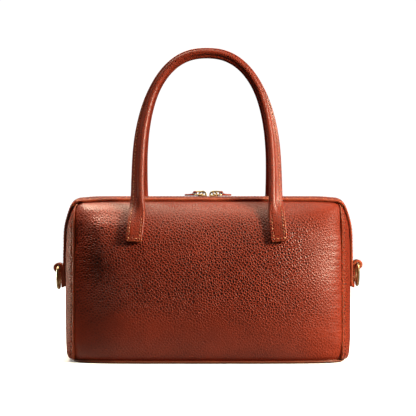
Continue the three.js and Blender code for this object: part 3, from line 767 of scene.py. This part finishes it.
def treeFor(name, sizes):
    tree = bpy.data.node_groups.new(name, "GeometryNodeTree")
    inputs = [("Path", "Geometry"), *((size, "Float") for size in sizes), ("Finish", "Material")]
    for label, kind in inputs:
        tree.interface.new_socket(label, in_out="INPUT", socket_type=f"NodeSocket{kind}")
    tree.interface.new_socket("Pieces", in_out="OUTPUT", socket_type="NodeSocketGeometry")
    return tree, addNode(tree, "NodeGroupInput").outputs


# Both trees set pieces along a path, x along it and z on its "up" attribute.
def setAlong(tree, inputs, piece):
    curve = addNode(tree, "GeometryNodeMeshToCurve", {"Mesh": inputs["Path"]})
    evenly = {"Curve": curve, "Length": inputs["Pitch"]}
    spaced = addNode(tree, "GeometryNodeResampleCurve", evenly, mode="LENGTH")
    tangent = addNode(tree, "GeometryNodeInputTangent")
    up = addNode(tree, "GeometryNodeInputNamedAttribute", {"Name": "up"}, data_type="FLOAT_VECTOR")
    ahead = addNode(tree, "FunctionNodeAlignRotationToVector", {"Vector": tangent}, axis="X")
    stood = {"Rotation": ahead, "Vector": up}
    upright = addNode(tree, "FunctionNodeAlignRotationToVector", stood, axis="Z", pivot_axis="X")
    copies = {"Points": spaced, "Instance": piece, "Rotation": upright}
    row = addNode(tree, "GeometryNodeInstanceOnPoints", copies)
    real = addNode(tree, "GeometryNodeRealizeInstances", {"Geometry": row})
    rounded = addNode(tree, "GeometryNodeSetShadeSmooth", {"Geometry": real})
    dressed = addNode(tree, "GeometryNodeSetMaterial", {"Geometry": rounded, "Material": inputs["Finish"]})
    addNode(tree, "NodeGroupOutput", {"Pieces": dressed})
    return tree


def plainMesh(drawn):
    graph = bpy.context.evaluated_depsgraph_get()
    return bpy.data.meshes.new_from_object(drawn.evaluated_get(graph), depsgraph=graph)


def growAlong(tree, name, lines, sizes, finish):
    mesh = bpy.data.meshes.new(name)
    edges, start = [], 0
    for line, _ in lines:
        edges += [(start + i, start + i + 1) for i in range(len(line) - 1)]
        start += len(line)
    mesh.from_pydata((np.vstack([line for line, _ in lines]) * mm).tolist(), edges, [])
    ups = np.vstack([up for _, up in lines]).astype(np.float32).ravel()
    mesh.attributes.new("up", "FLOAT_VECTOR", "POINT").data.foreach_set("vector", ups)
    piece = placed(name, mesh)
    grown = piece.modifiers.new("grown", "NODES")
    grown.node_group = tree
    sockets = {s.name: s.identifier for s in tree.interface.items_tree if s.in_out == "INPUT"}
    for size, value in sizes.items():
        grown[sockets[size]] = value * mm
    grown[sockets["Finish"]] = finish
    result = plainMesh(piece)
    piece.modifiers.clear()
    piece.data = result
    return piece


sewing = {"Pitch": 2.8, "Length": 2.1, "Thickness": 0.85}


# A stitch is a bead of thread, longer than it is thick, half sunk in its groove.
def stitchTree():
    tree, inputs = treeFor("stitches", sewing)
    bead = addNode(tree, "GeometryNodeMeshUVSphere", {"Segments": 8, "Rings": 6, "Radius": 0.5})
    sides = {"X": inputs["Length"], "Y": inputs["Thickness"], "Z": inputs["Thickness"]}
    size = addNode(tree, "ShaderNodeCombineXYZ", sides)
    shaped = addNode(tree, "GeometryNodeTransform", {"Geometry": bead, "Scale": size})
    return setAlong(tree, inputs, shaped)


tooth = {"Pitch": 2.5, "Thick": 1.3, "Width": 3.4, "Height": 1.6}
zipTeeth = {"rowAt": 1.35, "lift": 1.2, "nib": (0, 0.0015, 0.0003), "shortOfEnd": 4, "step": 0.5}


# A zip tooth: a clamped foot and a round nib that meets the other row.
def toothTree():
    tree, inputs = treeFor("zip teeth", tooth)
    thick = inputs["Thick"]
    foot = addNode(tree, "GeometryNodeMeshCylinder", {"Vertices": 10, "Radius": 0.5, "Depth": 1.0})
    nib = addNode(tree, "GeometryNodeMeshUVSphere", {"Segments": 8, "Rings": 5, "Radius": 0.5})
    joined = addNode(tree, "GeometryNodeJoinGeometry")
    for part, across, moved in ((foot, inputs["Width"], (0, 0, 0)), (nib, thick, zipTeeth["nib"])):
        size = addNode(tree, "ShaderNodeCombineXYZ", {"X": thick, "Y": across, "Z": inputs["Height"]})
        settings = {"Geometry": part, "Scale": size, "Translation": moved}
        shaped = addNode(tree, "GeometryNodeTransform", settings)
        tree.links.new(shaped.outputs[0], joined.inputs[0])
    return setAlong(tree, inputs, joined)


def toothRow(side, start):
    look = zipTeeth
    end = zipReach - look["shortOfEnd"]
    line = np.arange(start - end, end, look["step"])[:: -1 if side > 0 else 1]
    aside = np.full(len(line), side * look["rowAt"])
    p, up = surface(overPatch, line, aside)
    return p + up * (lift(line, aside) + look["lift"])[:, None], up


toothRows = [toothRow(-1, 0.0), toothRow(1, tooth["Pitch"] / 2)]
fasten(growAlong(toothTree(), "zip_teeth_rows", toothRows, tooth, brass), "brass", "zip_teeth")
print("zip made")


# A round wire along a path that lies in a plane; across is the plane's normal.
def wireLoops(path, radius, across, sides, closed):
    ahead = np.roll(path, -1, axis=0) - np.roll(path, 1, axis=0) if closed else np.gradient(path, axis=0)
    aside = np.cross(across, unit(ahead))[:, None, :]
    angle = (np.arange(sides) * 2 * math.pi / sides)[:, None]
    return path[:, None, :] + radius * (np.cos(angle) * aside + np.sin(angle) * np.array(across))


def evenly(line, at, length):
    return np.stack([np.interp(at, length, line[:, k]) for k in range(line.shape[1])], axis=1)


def lengthAlong(line):
    return np.concatenate([[0], np.cumsum(np.linalg.norm(np.diff(line, axis=0), axis=1))])


# A rounded rectangle from (0, 0), width along u and length along -v.
def roundedLoop(width, length, nearCorner, farCorner, steps):
    w, near, far = width / 2, nearCorner, farCorner
    centres = [(w - near, -near, near), (w - far, far - length, far)]
    centres += [(far - w, far - length, far), (near - w, -near, near)]
    corners = []
    for k, (u, v, radius) in enumerate(centres):
        a = np.linspace((1 - k) * math.pi / 2, -k * math.pi / 2, steps)
        corners.append(np.stack([u + radius * np.cos(a), v + radius * np.sin(a)], axis=1))
    loop = np.vstack(corners)
    loop = loop[np.linalg.norm(loop - np.roll(loop, 1, axis=0), axis=1) > 1e-3]
    # points at even spacing, so that long straights are as fine as the corners
    closed = np.vstack([loop, loop[:1]])
    along = lengthAlong(closed)
    return evenly(closed, np.linspace(0, along[-1], steps * 8, endpoint=False), along)


dRing = {
    "innerWidth": 19.0,
    "length": 20.6,
    "wire": 1.35,
    "corner": 2.6,
    "x": -130.82,
    "height": {"left": 79.8, "right": 82.6},
    "sides": 16,
}


def makeRing(side, turn):
    look = dRing
    width = look["innerWidth"] + 2 * look["wire"]
    loop = roundedLoop(width, look["length"] - 2 * look["wire"], look["corner"], width / 2, 18)
    path = points3(look["x"], loop[:, 0], look["height"][side] + loop[:, 1])
    loops, body = wireLoops(path, look["wire"], (1.0, 0, 0), look["sides"], True), f"ring_{side}"
    return loftPiece(f"{body}_wire", loops, True, [brass], "brass", f"d_{body}", turn=turn, body=body)


makeRing("left", False)
makeRing("right", True)


# A strap folded round a bar at (0, 0), its two legs sewn flat along -v, extruded with soft edges.
def foldedStrap(name, look, place):
    loop, tip, length = look["hole"] + look["leather"], look["tip"], look["length"]
    neck, soft = math.radians(look["neckDeg"]), 0.3
    turn = np.linspace(neck, math.pi, 40)
    outerLeg = [
        (tip - loop, -length),
        (tip - loop + 0.15, -length * 0.55),
        (loop * math.cos(neck), loop * math.sin(neck)),
    ]
    fold = np.stack([loop * np.cos(turn), loop * np.sin(turn)], axis=1)
    rim = np.vstack([[(-loop, -length)], smoothCurve(outerLeg, 8)[:-1], fold])
    bore = np.linspace(0, 2 * math.pi, 28, endpoint=False)
    hole = look["hole"] * np.stack([np.cos(bore), np.sin(bore)], axis=1)
    curve = bpy.data.curves.new(name, "CURVE")
    curve.dimensions, curve.fill_mode = "2D", "BOTH"
    curve.extrude, curve.bevel_depth, curve.bevel_resolution = look["width"] / 2 - soft, soft, 2
    curve.offset = -soft
    for contour in (rim, hole):
        spline = curve.splines.new("POLY")
        spline.points.add(len(contour) - 1)
        flat = np.zeros((len(contour), 1))
        spline.points.foreach_set("co", np.hstack([contour, flat, flat + 1]).ravel())
        spline.use_cyclic_u = True
    drawn = placed(name, curve)
    mesh = plainMesh(drawn)
    bpy.data.objects.remove(drawn)
    mesh.transform(Matrix(place) @ Matrix.Scale(mm, 4))
    mesh.materials.clear()
    for material in (handleLeather, cutEdge):
        mesh.materials.append(material)
    piece = faceOut(placed(name, mesh))
    across = Matrix(place).to_3x3().col[2]
    for face in mesh.polygons:
        face.use_smooth = True
        face.material_index = 1 if abs(face.normal.dot(across)) > 0.6 else 0
    return piece


ringTab = {
    "width": 16.0,
    "leather": 2.4,
    "hole": 1.75,
    "tipHeight": 62.5,
    "neckDeg": -125.0,
    "tip": 1.3,
    "sewnInset": 1.9,
    "sewnTop": 0.42,  # share of the leg's length where the stitches begin
    "sunk": (0.2, 0.15),  # depth of the stitches there and at the tip, clear of the ring
}


def makeRingTab(side, flip):
    height, x = dRing["height"][side], dRing["x"] * flip
    look = {**ringTab, "length": height - ringTab["tipHeight"]}
    place = [[-flip, 0, 0, x * mm], [0, 0, flip, 0], [0, 1, 0, height * mm], [0, 0, 0, 1]]
    fasten(foldedStrap(f"ring_strap_{side}", look, place), "leather", f"ring_tab_{side}")
    # sewn down both sides and across the tip of the outer leg
    loop, (topSunk, lowSunk) = look["hole"] + look["leather"], look["sunk"]
    topOut = loop * math.cos(math.radians(look["neckDeg"])) - topSunk
    top = (topOut, -look["length"] * look["sewnTop"])
    low = (look["tip"] - loop - lowSunk, 2.0 - look["length"])
    inset = look["width"] / 2 - look["sewnInset"]
    route = [(top, -inset), (low, -inset), (low, inset), (top, inset)]
    line = np.array([(x - flip * out, y, height + up) for (out, up), y in route])
    addSeam(stitchLines, line, np.tile([-flip, 0, 0], (len(line), 1)), False)


makeRingTab("left", 1)
makeRingTab("right", -1)
print("rings and their straps made")

# The sliders: a channel over the teeth that narrows outwards, with a bail along the zip.
slider = {
    "x": 4.9,
    "top": 143.4,
    "roof": 1.2,
    "low": 140.6,
    "inner": 3.2,
    "bailX": 4.8,
    "bailRadius": 3.0,
    "bailWire": 0.75,
    "bailSides": 12,
    "plan": [  # place along the zip, half width, rounding of the ends
        (-4.0, 3.5, 0.35),
        (-3.7, 3.8, 0.1),
        (-1.5, 4.2, 0),
        (1.0, 4.65, 0),
        (3.0, 4.7, 0),
        (3.7, 4.5, 0.1),
        (4.0, 4.2, 0.35),
    ],
}


def makeSlider(name, node, turn):
    look, loops = slider, []
    roof, low = look["top"] - look["roof"], look["low"]
    for along, wide, drop in look["plan"]:
        top, inner = look["top"] - drop, min(look["inner"], wide - 0.3)
        half = [(0, top), (wide * 0.5, top), (wide - 0.6, top - 0.02), (wide - 0.2, top - 0.2)]
        half += [(wide, top - 0.6), (wide, low + 0.2), (wide - 0.2, low), (inner + 0.1, low)]
        half += [(inner, low + 0.15), (inner, roof - 0.1), (inner - 0.3, roof), (0, roof)]
        ring = half + [(-y, z) for y, z in half[-2:0:-1]]
        loops.append([(along - look["x"], y, z) for y, z in ring])
    loops = np.array(loops)
    arch = np.linspace(-0.12 * math.pi, 1.12 * math.pi, 30)
    out, up = look["bailRadius"] * np.cos(arch), look["bailRadius"] * np.sin(arch)
    path = points3(out - look["bailX"], 0, up + look["top"])
    bail = wireLoops(path, look["bailWire"], (0, 1.0, 0), look["bailSides"], False)
    start = loops.shape[0] * loops.shape[1]
    faces = loftFaces(*loops.shape[:2], False)
    faces += [[i + start for i in face] for face in loftFaces(*bail.shape[:2], False)]
    points = np.vstack([loops.reshape(-1, 3), bail.reshape(-1, 3)])
    return fasten(faceOut(newPiece(name, points, faces, [brass], turn=turn)), "brass", node)


makeSlider("slider_left", "zip_slider_left", False)
makeSlider("slider_right", "zip_slider_right", True)

# Each slider's wire ring lies outwards, rolled towards the front, with a folded leather pull.
pull = {
    "place": (-4.4, 0, 145.0),
    "length": 7.2,
    "width": 8.8,
    "nearCorner": 3.2,
    "farCorner": 1.3,
    "wire": 0.7,
    "sides": 12,
    "tiltDeg": 2.0,
    "ringRollDeg": 20.0,
    "strapRollDeg": 5.0,
}
pullStrap = {"width": 5.4, "leather": 0.9, "hole": 1.05, "length": 8.8, "neckDeg": -95.0, "tip": 1.2}


def makePull(side, flip):
    look = pull
    tilt, roll, strapRoll = (math.radians(look[way]) for way in ("tiltDeg", "ringRollDeg", "strapRollDeg"))
    loop = roundedLoop(look["width"], look["length"], look["nearCorner"], look["farCorner"], 10)
    aside, out = loop.T
    rise = out * math.sin(tilt) + aside * math.sin(roll)
    path = points3(out * math.cos(tilt), aside * math.cos(roll), rise)
    across = unit(np.array([math.sin(-tilt), -math.sin(roll), math.cos(roll)]))
    loops = (wireLoops(path, look["wire"], across, look["sides"], True) + look["place"]) * [flip, 1, 1]
    loftPiece(f"pull_wire_{side}", loops, True, [brass], "brass", f"pull_ring_{side}")
    barX = (look["place"][0] - look["length"] * math.cos(tilt)) * flip * mm
    barZ = (look["place"][2] - look["length"] * math.sin(tilt)) * mm
    place = Matrix([[0, flip, 0, barX], [0, 0, flip, 0], [1, 0, 0, barZ], [0, 0, 0, 1]])
    seat = Matrix.Translation((0, 0, barZ))
    place = seat @ Matrix.Rotation(strapRoll, 4, "X") @ seat.inverted() @ place
    fasten(foldedStrap(f"pull_strap_{side}", pullStrap, place), "leather", f"pull_tab_{side}")


makePull("left", 1)
makePull("right", -1)
print("sliders and pulls made")

# Rolled handles: flat sewn tabs, then the leather is folded round a core and sewn along the outside.
handle = {
    "tabBottom": 103.0,
    "tabTop": 124.0,
    "tabSpread": 61.2,
    "tabTopSpread": 59.4,
    "archHalfWidth": 58.8,
    "archStart": 158.0,
    "archRise": 109.0,
    "archFullness": 2.35,
    "shift": -1.2,
    "crownDepth": 15.0,
    "tabLean": 0.46,
    "crownLean": 0.02,
    "tabHalfWidth": 6.7,
    "tabHalfThick": 2.1,
    "tabCorner": 1.2,  # radius of the tab's corners
    "steps": 330,
    "roll": [  # along, radius, width of the sewn flange, its turn to the back in degrees
        (0.0, 3.6, 5.6, 0),
        (0.1, 3.6, 5.6, 0),
        (0.2, 3.1, 7.0, 34),
        (0.3, 3.0, 7.2, 42),
        (0.45, 3.0, 6.2, 42),
        (0.6, 3.0, 3.6, 32),
        (0.72, 3.0, 1.5, 16),
        (1.0, 3.0, 0.5, 0),
    ],
    "crownLift": 0.7,
    "flangeHalfThick": 1.7,
    "stitchInset": 2.0,
    "groove": 0.4,
    "grooveReach": 0.7,
    "sewnTo": 0.64,  # past this the roll closes and hides its seam
    "backSewnFrom": 0.17,
    "tabSewnTo": 0.098,
}


def handleDepth(z):
    look = handle
    footX, footZ = np.array([-look["archHalfWidth"]]), np.array([look["tabTop"]])
    foot = raised(frontPatch, footX, footZ, gap + look["tabHalfThick"])[0, 1]
    rise = look["archStart"] + look["archRise"] - look["tabTop"]
    t = (z - look["tabTop"]) / rise
    bend = rise * t * (1 - t) * ((1 - t) * look["tabLean"] - t * look["crownLean"])
    return foot + (-look["crownDepth"] - foot) * t * t * (3 - 2 * t) + bend


def handleLine():
    look = handle
    z = np.linspace(look["tabBottom"], look["tabTop"], 5)
    t = (z - look["tabBottom"]) / (look["tabTop"] - look["tabBottom"])
    x = -(look["tabSpread"] + (look["tabTopSpread"] - look["tabSpread"]) * t)
    tab = raised(frontPatch, x, z, gap + look["tabHalfThick"])
    z = np.linspace(look["tabTop"], look["archStart"], 5)[1:-1]
    leg = points3(-look["archHalfWidth"], handleDepth(z), z)
    a = np.linspace(0, math.pi / 2, 10)
    power = 2 / look["archFullness"]
    z = look["archStart"] + look["archRise"] * np.sin(a) ** power
    arch = points3(-look["archHalfWidth"] * np.clip(np.cos(a), 0, 1) ** power, handleDepth(z), z)
    left = np.vstack([tab, leg, arch])
    line = smoothCurve(np.vstack([left, left[-2::-1] * [-1, 1, 1]]), 60)
    length = lengthAlong(line)
    # closer at both ends, for the tabs' rounded corners
    ends = np.array([0, 0.15, 0.4, 0.8, 1.4])
    at = np.concatenate([ends, np.linspace(2.4, length[-1] - 2.4, look["steps"]), length[-1] - ends[::-1]])
    return evenly(line, at, length), at, length[-1]


handlePath, handleAt, handleLength = handleLine()
tangent = unit(np.gradient(handlePath, handleAt, axis=0))
overArch = np.maximum(handlePath[:, 2] - handle["archStart"], 0) / handle["archRise"] ** 2
outward = unitAcross(points3(handlePath[:, 0] / handle["archHalfWidth"] ** 2, 0, overArch), tangent)
along = 1 - np.abs(2 * handleAt / handleLength - 1)
rolled = ease(0.085, 0.2, along)
rollKeys, *rollColumns = np.array(handle["roll"]).T
rollRadius, flange, twist = (through(rollKeys, column)(along) for column in rollColumns)
front = np.cross(tangent, outward)
turned = np.radians(twist)[:, None]
facing = front * np.cos(turned) + outward * np.sin(turned)
outward = outward * np.cos(turned) - front * np.sin(turned)
fromEnd = np.minimum(handleAt, handleLength - handleAt)
tabOut = handle["tabHalfWidth"] - handle["stitchInset"]


def sunkAt(out):  # the groove that the tab's stitches lie in
    return handle["groove"] * bell(np.abs(out) - tabOut, handle["grooveReach"])


# Half a section: cut edge, flange side, round of the roll. A row has out and up when rolled, then when flat,
# and its kind: 0 grain, 1 cut edge, 2 inner edge of a tab.
def handleSection():
    thick, shift = handle["flangeHalfThick"], flange / 2
    corner = handle["tabCorner"]
    wide = handle["tabHalfWidth"] - corner * (1 - np.clip(fromEnd / corner, 0, 1)) ** 2
    slim = handle["tabHalfThick"] - 0.35 * (1 - np.clip(fromEnd / 0.4, 0, 1)) ** 2
    start = np.arcsin(np.clip(thick / rollRadius, 0, 1))
    rows = []
    for u in (0, 0.25, 0.55, 0.85, 1.0):
        ridge = 0.35 * u**6 + 0.2 * math.exp(-((u / 0.15) ** 2))  # the two layers show as a fine line
        rows.append((rollRadius + flange - ridge - shift, thick * u, wide - 0.3 * u**6, slim * u, 1))
    for w in np.linspace(0, 1, 8)[1:-1]:
        out = (rollRadius + flange - 0.3) * (1 - w) + rollRadius * np.cos(start) * w
        flatOut = wide * (1 - 0.6 * w) - 0.2 * (1 - w)
        rows.append((out - shift, thick + 0.25 * w**3, flatOut, slim - sunkAt(flatOut), 0))
    under = 0.78  # past this share the round lies under the tab
    for v in np.linspace(0, 1, 19):
        angle = start + v * (math.pi - start)
        out, up = rollRadius * np.cos(angle) - shift, rollRadius * np.sin(angle)
        flatOut = wide * (0.4 - 1.4 * min(v / under, 1))
        flatUp = (slim - sunkAt(flatOut)) * (1 - max(v - under, 0) / (1 - under))
        rows.append((out, up, flatOut, flatUp, 2 if v > under else 0))
    return rows


def makeHandle(name, node, turn):
    rows = handleSection()
    ring = [(1, row) for row in rows] + [(-1, row) for row in rows[-2:0:-1]]
    kinds = [row[-1] for _, row in ring]
    moved = [handle["shift"] * (-1 if turn else 1), 0, 0]
    loops = []
    for sign, (rollOut, rollUp, flatOut, flatUp, _) in ring:
        out = flatOut * (1 - rolled) + rollOut * rolled
        up = sign * (flatUp * (1 - rolled) + rollUp * rolled)
        loops.append(handlePath + outward * out[:, None] + facing * up[:, None])
    points = np.stack(loops, axis=1) + moved
    points[..., 2] += handle["crownLift"] * ease(0.6, 1.0, along)[:, None]
    faceKinds = []
    for step in range(len(handlePath) - 1):
        onTab = rolled[step] < 0.3
        atEnd = fromEnd[step] < 0.7 and fromEnd[step + 1] < 0.9  # the burnish reaches round the tab's foot
        for pair in zip(kinds, kinds[1:] + kinds[:1]):
            faceKinds.append(1 if atEnd or pair == (1, 1) or (onTab and 2 in pair) else 0)
    loftPiece(name, points, False, [handleLeather, cutEdge], "leather", node, faceKinds + [1, 1], turn)
    # sewn lines: outer side all the way, inner side and foot of each tab, and the back of the flange
    inset = handle["stitchInset"]
    outAt = tabOut * (1 - rolled) + (rollRadius + flange * 0.45 - flange / 2 + 0.3) * rolled
    upAt = handle["tabHalfThick"] * (1 - rolled) + (handle["flangeHalfThick"] + 0.08) * rolled

    def sew(keep, out, sign=1):
        normal = sign * facing[keep]
        line = handlePath[keep] + outward[keep] * out[keep, None] + normal * upAt[keep, None] + moved
        addSeam(stitchLines, line, normal, turn)

    for first in (True, False):
        halfPath = (handleAt < handleLength / 2) == first
        onFlange = halfPath & (along < handle["sewnTo"])
        sew(onFlange & (fromEnd > inset), outAt)
        sew(onFlange & (along > handle["backSewnFrom"]), outAt, -1)
        sew(halfPath & (fromEnd > inset) & (along < handle["tabSewnTo"]), np.full(len(along), -tabOut))
        foot = np.argmin(np.abs(fromEnd - inset) + 1e6 * ~halfPath)
        across = np.linspace(-tabOut, tabOut, 9)[:, None]
        line = handlePath[foot] + outward[foot] * across + facing[foot] * upAt[foot] + moved
        addSeam(stitchLines, line, np.tile(facing[foot], (len(across), 1)), turn)


makeHandle("handle_rolled_front", "handle_front", False)
makeHandle("handle_rolled_back", "handle_back", True)
print("handles made")

# The base: one thick plate of leather with a burnished cut edge, darkened as painted shade.
basePlate = {
    "halfLength": 118.0,
    "halfDepth": 55.0,
    "squareness": 5.0,
    "steps": 320,
    "under": [(9, 0), (1.7, 0)],  # inset, height
    "edge": [(1.6, 0.6), (0.9, 0.95), (0.15, 1.05), (0, 1.25), (0, 1.85), (0.15, 2.1)],  # bevelled below
    "over": [(0.5, 2.2), (9, 2.2)],
}


def makeBase():
    look = basePlate
    angle = np.arange(look["steps"]) * 2 * math.pi / look["steps"]
    power = 2 / look["squareness"]
    x, y = (np.sign(f(angle)) * np.abs(f(angle)) ** power for f in (np.cos, np.sin))
    loops = []
    for inset, z in look["under"] + look["edge"] + look["over"]:
        loops.append(points3(x * (look["halfLength"] - inset), y * (look["halfDepth"] - inset), z))
    kinds = [*np.repeat([0, 1, 0], np.array([1, len(loops) - 3, 1]) * look["steps"]), 0, 2]
    # the cut edge takes the darker copy: painted shade
    leathers = [stripLeather, shadedBaseEdge, suede]
    return loftPiece("base_plate", np.array(loops), False, leathers, "leather", "base_panel", kinds)


makeBase()
stitches = stitchTree()
sewnRows = (("stitches_tonal", stitchLines, thread), ("stitches_seams", seamLines, seamThread))
for name, lines, finish in sewnRows:
    sewn = fasten(growAlong(stitches, name, lines, sewing, finish), "leather")
    print(name, "made:", len(sewn.data.polygons), "faces")


# Seamless pale floor, matt paper, a little overexposed to the eye as a studio sweep is.
def paperFloor(name, look):
    material, tree, place = newMaterial(name)
    fibre = addNode(tree, "ShaderNodeTexNoise", {"Vector": place, "Scale": 1000 / 3, "Detail": 2.0})
    whites = {"Factor": fibre, "A": linear("#f4f4f4"), "B": linear("#fbfbfb")}
    shade = addNode(tree, "ShaderNodeMix", whites, data_type="RGBA")
    far = addNode(tree, "ShaderNodeVectorMath", {0: place}, operation="ABSOLUTE")
    for other, step in ((look["footprint"], "SUBTRACT"), ((0, 0, 0), "MAXIMUM")):
        far = addNode(tree, "ShaderNodeVectorMath", {0: far, 1: other}, operation=step)
    far = addNode(tree, "ShaderNodeVectorMath", {0: far}, operation="LENGTH")  # distance from the base
    # painted shadow: the paper's glow dims where the base meets it; painted bounce: to the bag the paper is
    # pale only near the base and dark beyond, so only the paper near the bag throws light back on it
    glow, thrown = (
        addNode(
            tree,
            "ShaderNodeMapRange",
            {"Value": far, "From Max": reach, "To Min": near, "To Max": beyond},
            interpolation_type="SMOOTHSTEP",
        )
        for reach, near, beyond in (look["paintedShadow"], look["paintedBounce"])
    )
    lit = {"Emission Color": (1, 1, 1, 1), "Emission Strength": glow}
    skin = addNode(tree, "ShaderNodeBsdfPrincipled", {"Base Color": shade, "Roughness": 0.9, **lit})
    paintedBounce = addNode(tree, "ShaderNodeBsdfDiffuse", {"Color": thrown})
    seen = addNode(tree, "ShaderNodeLightPath").outputs["Is Camera Ray"]
    both = addNode(tree, "ShaderNodeMixShader", {0: seen, 1: paintedBounce, 2: skin})
    addNode(tree, "ShaderNodeOutputMaterial", {"Surface": both})
    return material


studio = {
    "floor": {  # each pair of painted shades: reach in m, value at the base, value beyond
        "footprint": (0.118, 0.055, 0.0),
        "paintedShadow": (0.034, 0.2, 0.95),
        "paintedBounce": (0.11, 0.4, 0.02),
    },
    "floorHalf": 9000,
    "front": 0.03,  # the surroundings' light, towards the camera
    "back": 0.12,  # and from the white wall behind
    "seen": 1.05,
    "warmth": (1.0, 0.92, 0.7),
    "lamps": [  # name, place in m, width, height, watts, spread in degrees, what it is aimed at
        ("top box", (-0.12, -0.1, 1.2), 1.1, 0.4, 10.6, 180, (0.0, 0.0, 0.1)),
        ("right box", (1.0, -0.42, 0.54), 0.25, 0.3, 34.0, 180, (0.0, 0.0, 0.1)),
        ("left box", (-0.58, 0.4, 0.09), 0.1, 0.12, 0.034, 8, (-0.122, 0.0, 0.065)),
        ("left top box", (-0.42, 0.0, 1.05), 0.06, 0.06, 0.0135, 4.5, (-0.122, -0.044, 0.158)),
        ("back left box", (-0.42, 0.42, 1.15), 0.62, 0.4, 12.5, 180, (0.0, 0.0, 0.1)),
        ("back box", (0.1, 0.6, 1.1), 0.9, 0.4, 1.0, 180, (0.0, 0.0, 0.1)),
    ],
}
half = studio["floorHalf"]
corners = [(-half, -half, 0), (half, -half, 0), (half, half, 0), (-half, half, 0)]
floor = newPiece("floor", corners, [(0, 1, 2, 3)], [paperFloor("paper matt", studio["floor"])])
for name, place, width, high, watts, spread, target in studio["lamps"]:
    lamp = bpy.data.lights.new(name, "AREA")
    lamp.shape, lamp.size, lamp.size_y, lamp.energy = "RECTANGLE", width, high, watts
    lamp.color, lamp.spread = studio["warmth"], math.radians(spread)
    held = placed(name, lamp)
    held.location = place
    held.rotation_euler = (Vector(target) - held.location).to_track_quat("-Z", "Y").to_euler()

world = bpy.data.worlds.new("studio")
world.use_nodes = True
scene.world = world
sky = world.node_tree
sky.nodes.clear()
toward = addNode(sky, "ShaderNodeSeparateXYZ", {0: addNode(sky, "ShaderNodeTexCoord").outputs["Generated"]})
dim = {"Value": toward.outputs["Y"], "From Max": 0.6, "To Min": studio["front"], "To Max": studio["back"]}
wall = addNode(sky, "ShaderNodeMapRange", dim, interpolation_type="SMOOTHSTEP")
soft, white = (
    addNode(sky, "ShaderNodeBackground", {"Color": (1, 1, 1, 1), "Strength": strength})
    for strength in (wall, studio["seen"])
)
seen = addNode(sky, "ShaderNodeLightPath").outputs["Is Camera Ray"]
both = addNode(sky, "ShaderNodeMixShader", {0: seen, 1: soft, 2: white})
addNode(sky, "ShaderNodeOutputWorld", {"Surface": both})

# Straight on, at the height of the bag's shoulder, 1.5 m away.
view = {"place": (0.0, -1.5, 0.1319), "lens": 147.9, "sensor": 36.0, "clip": 60.0}
camera = bpy.data.cameras.new("camera")
camera.lens, camera.sensor_width, camera.clip_end = view["lens"], view["sensor"], view["clip"]
stand = placed("camera", camera)
stand.location, stand.rotation_euler = view["place"], (math.pi / 2, 0, 0)
scene.camera = stand

print("stage set")
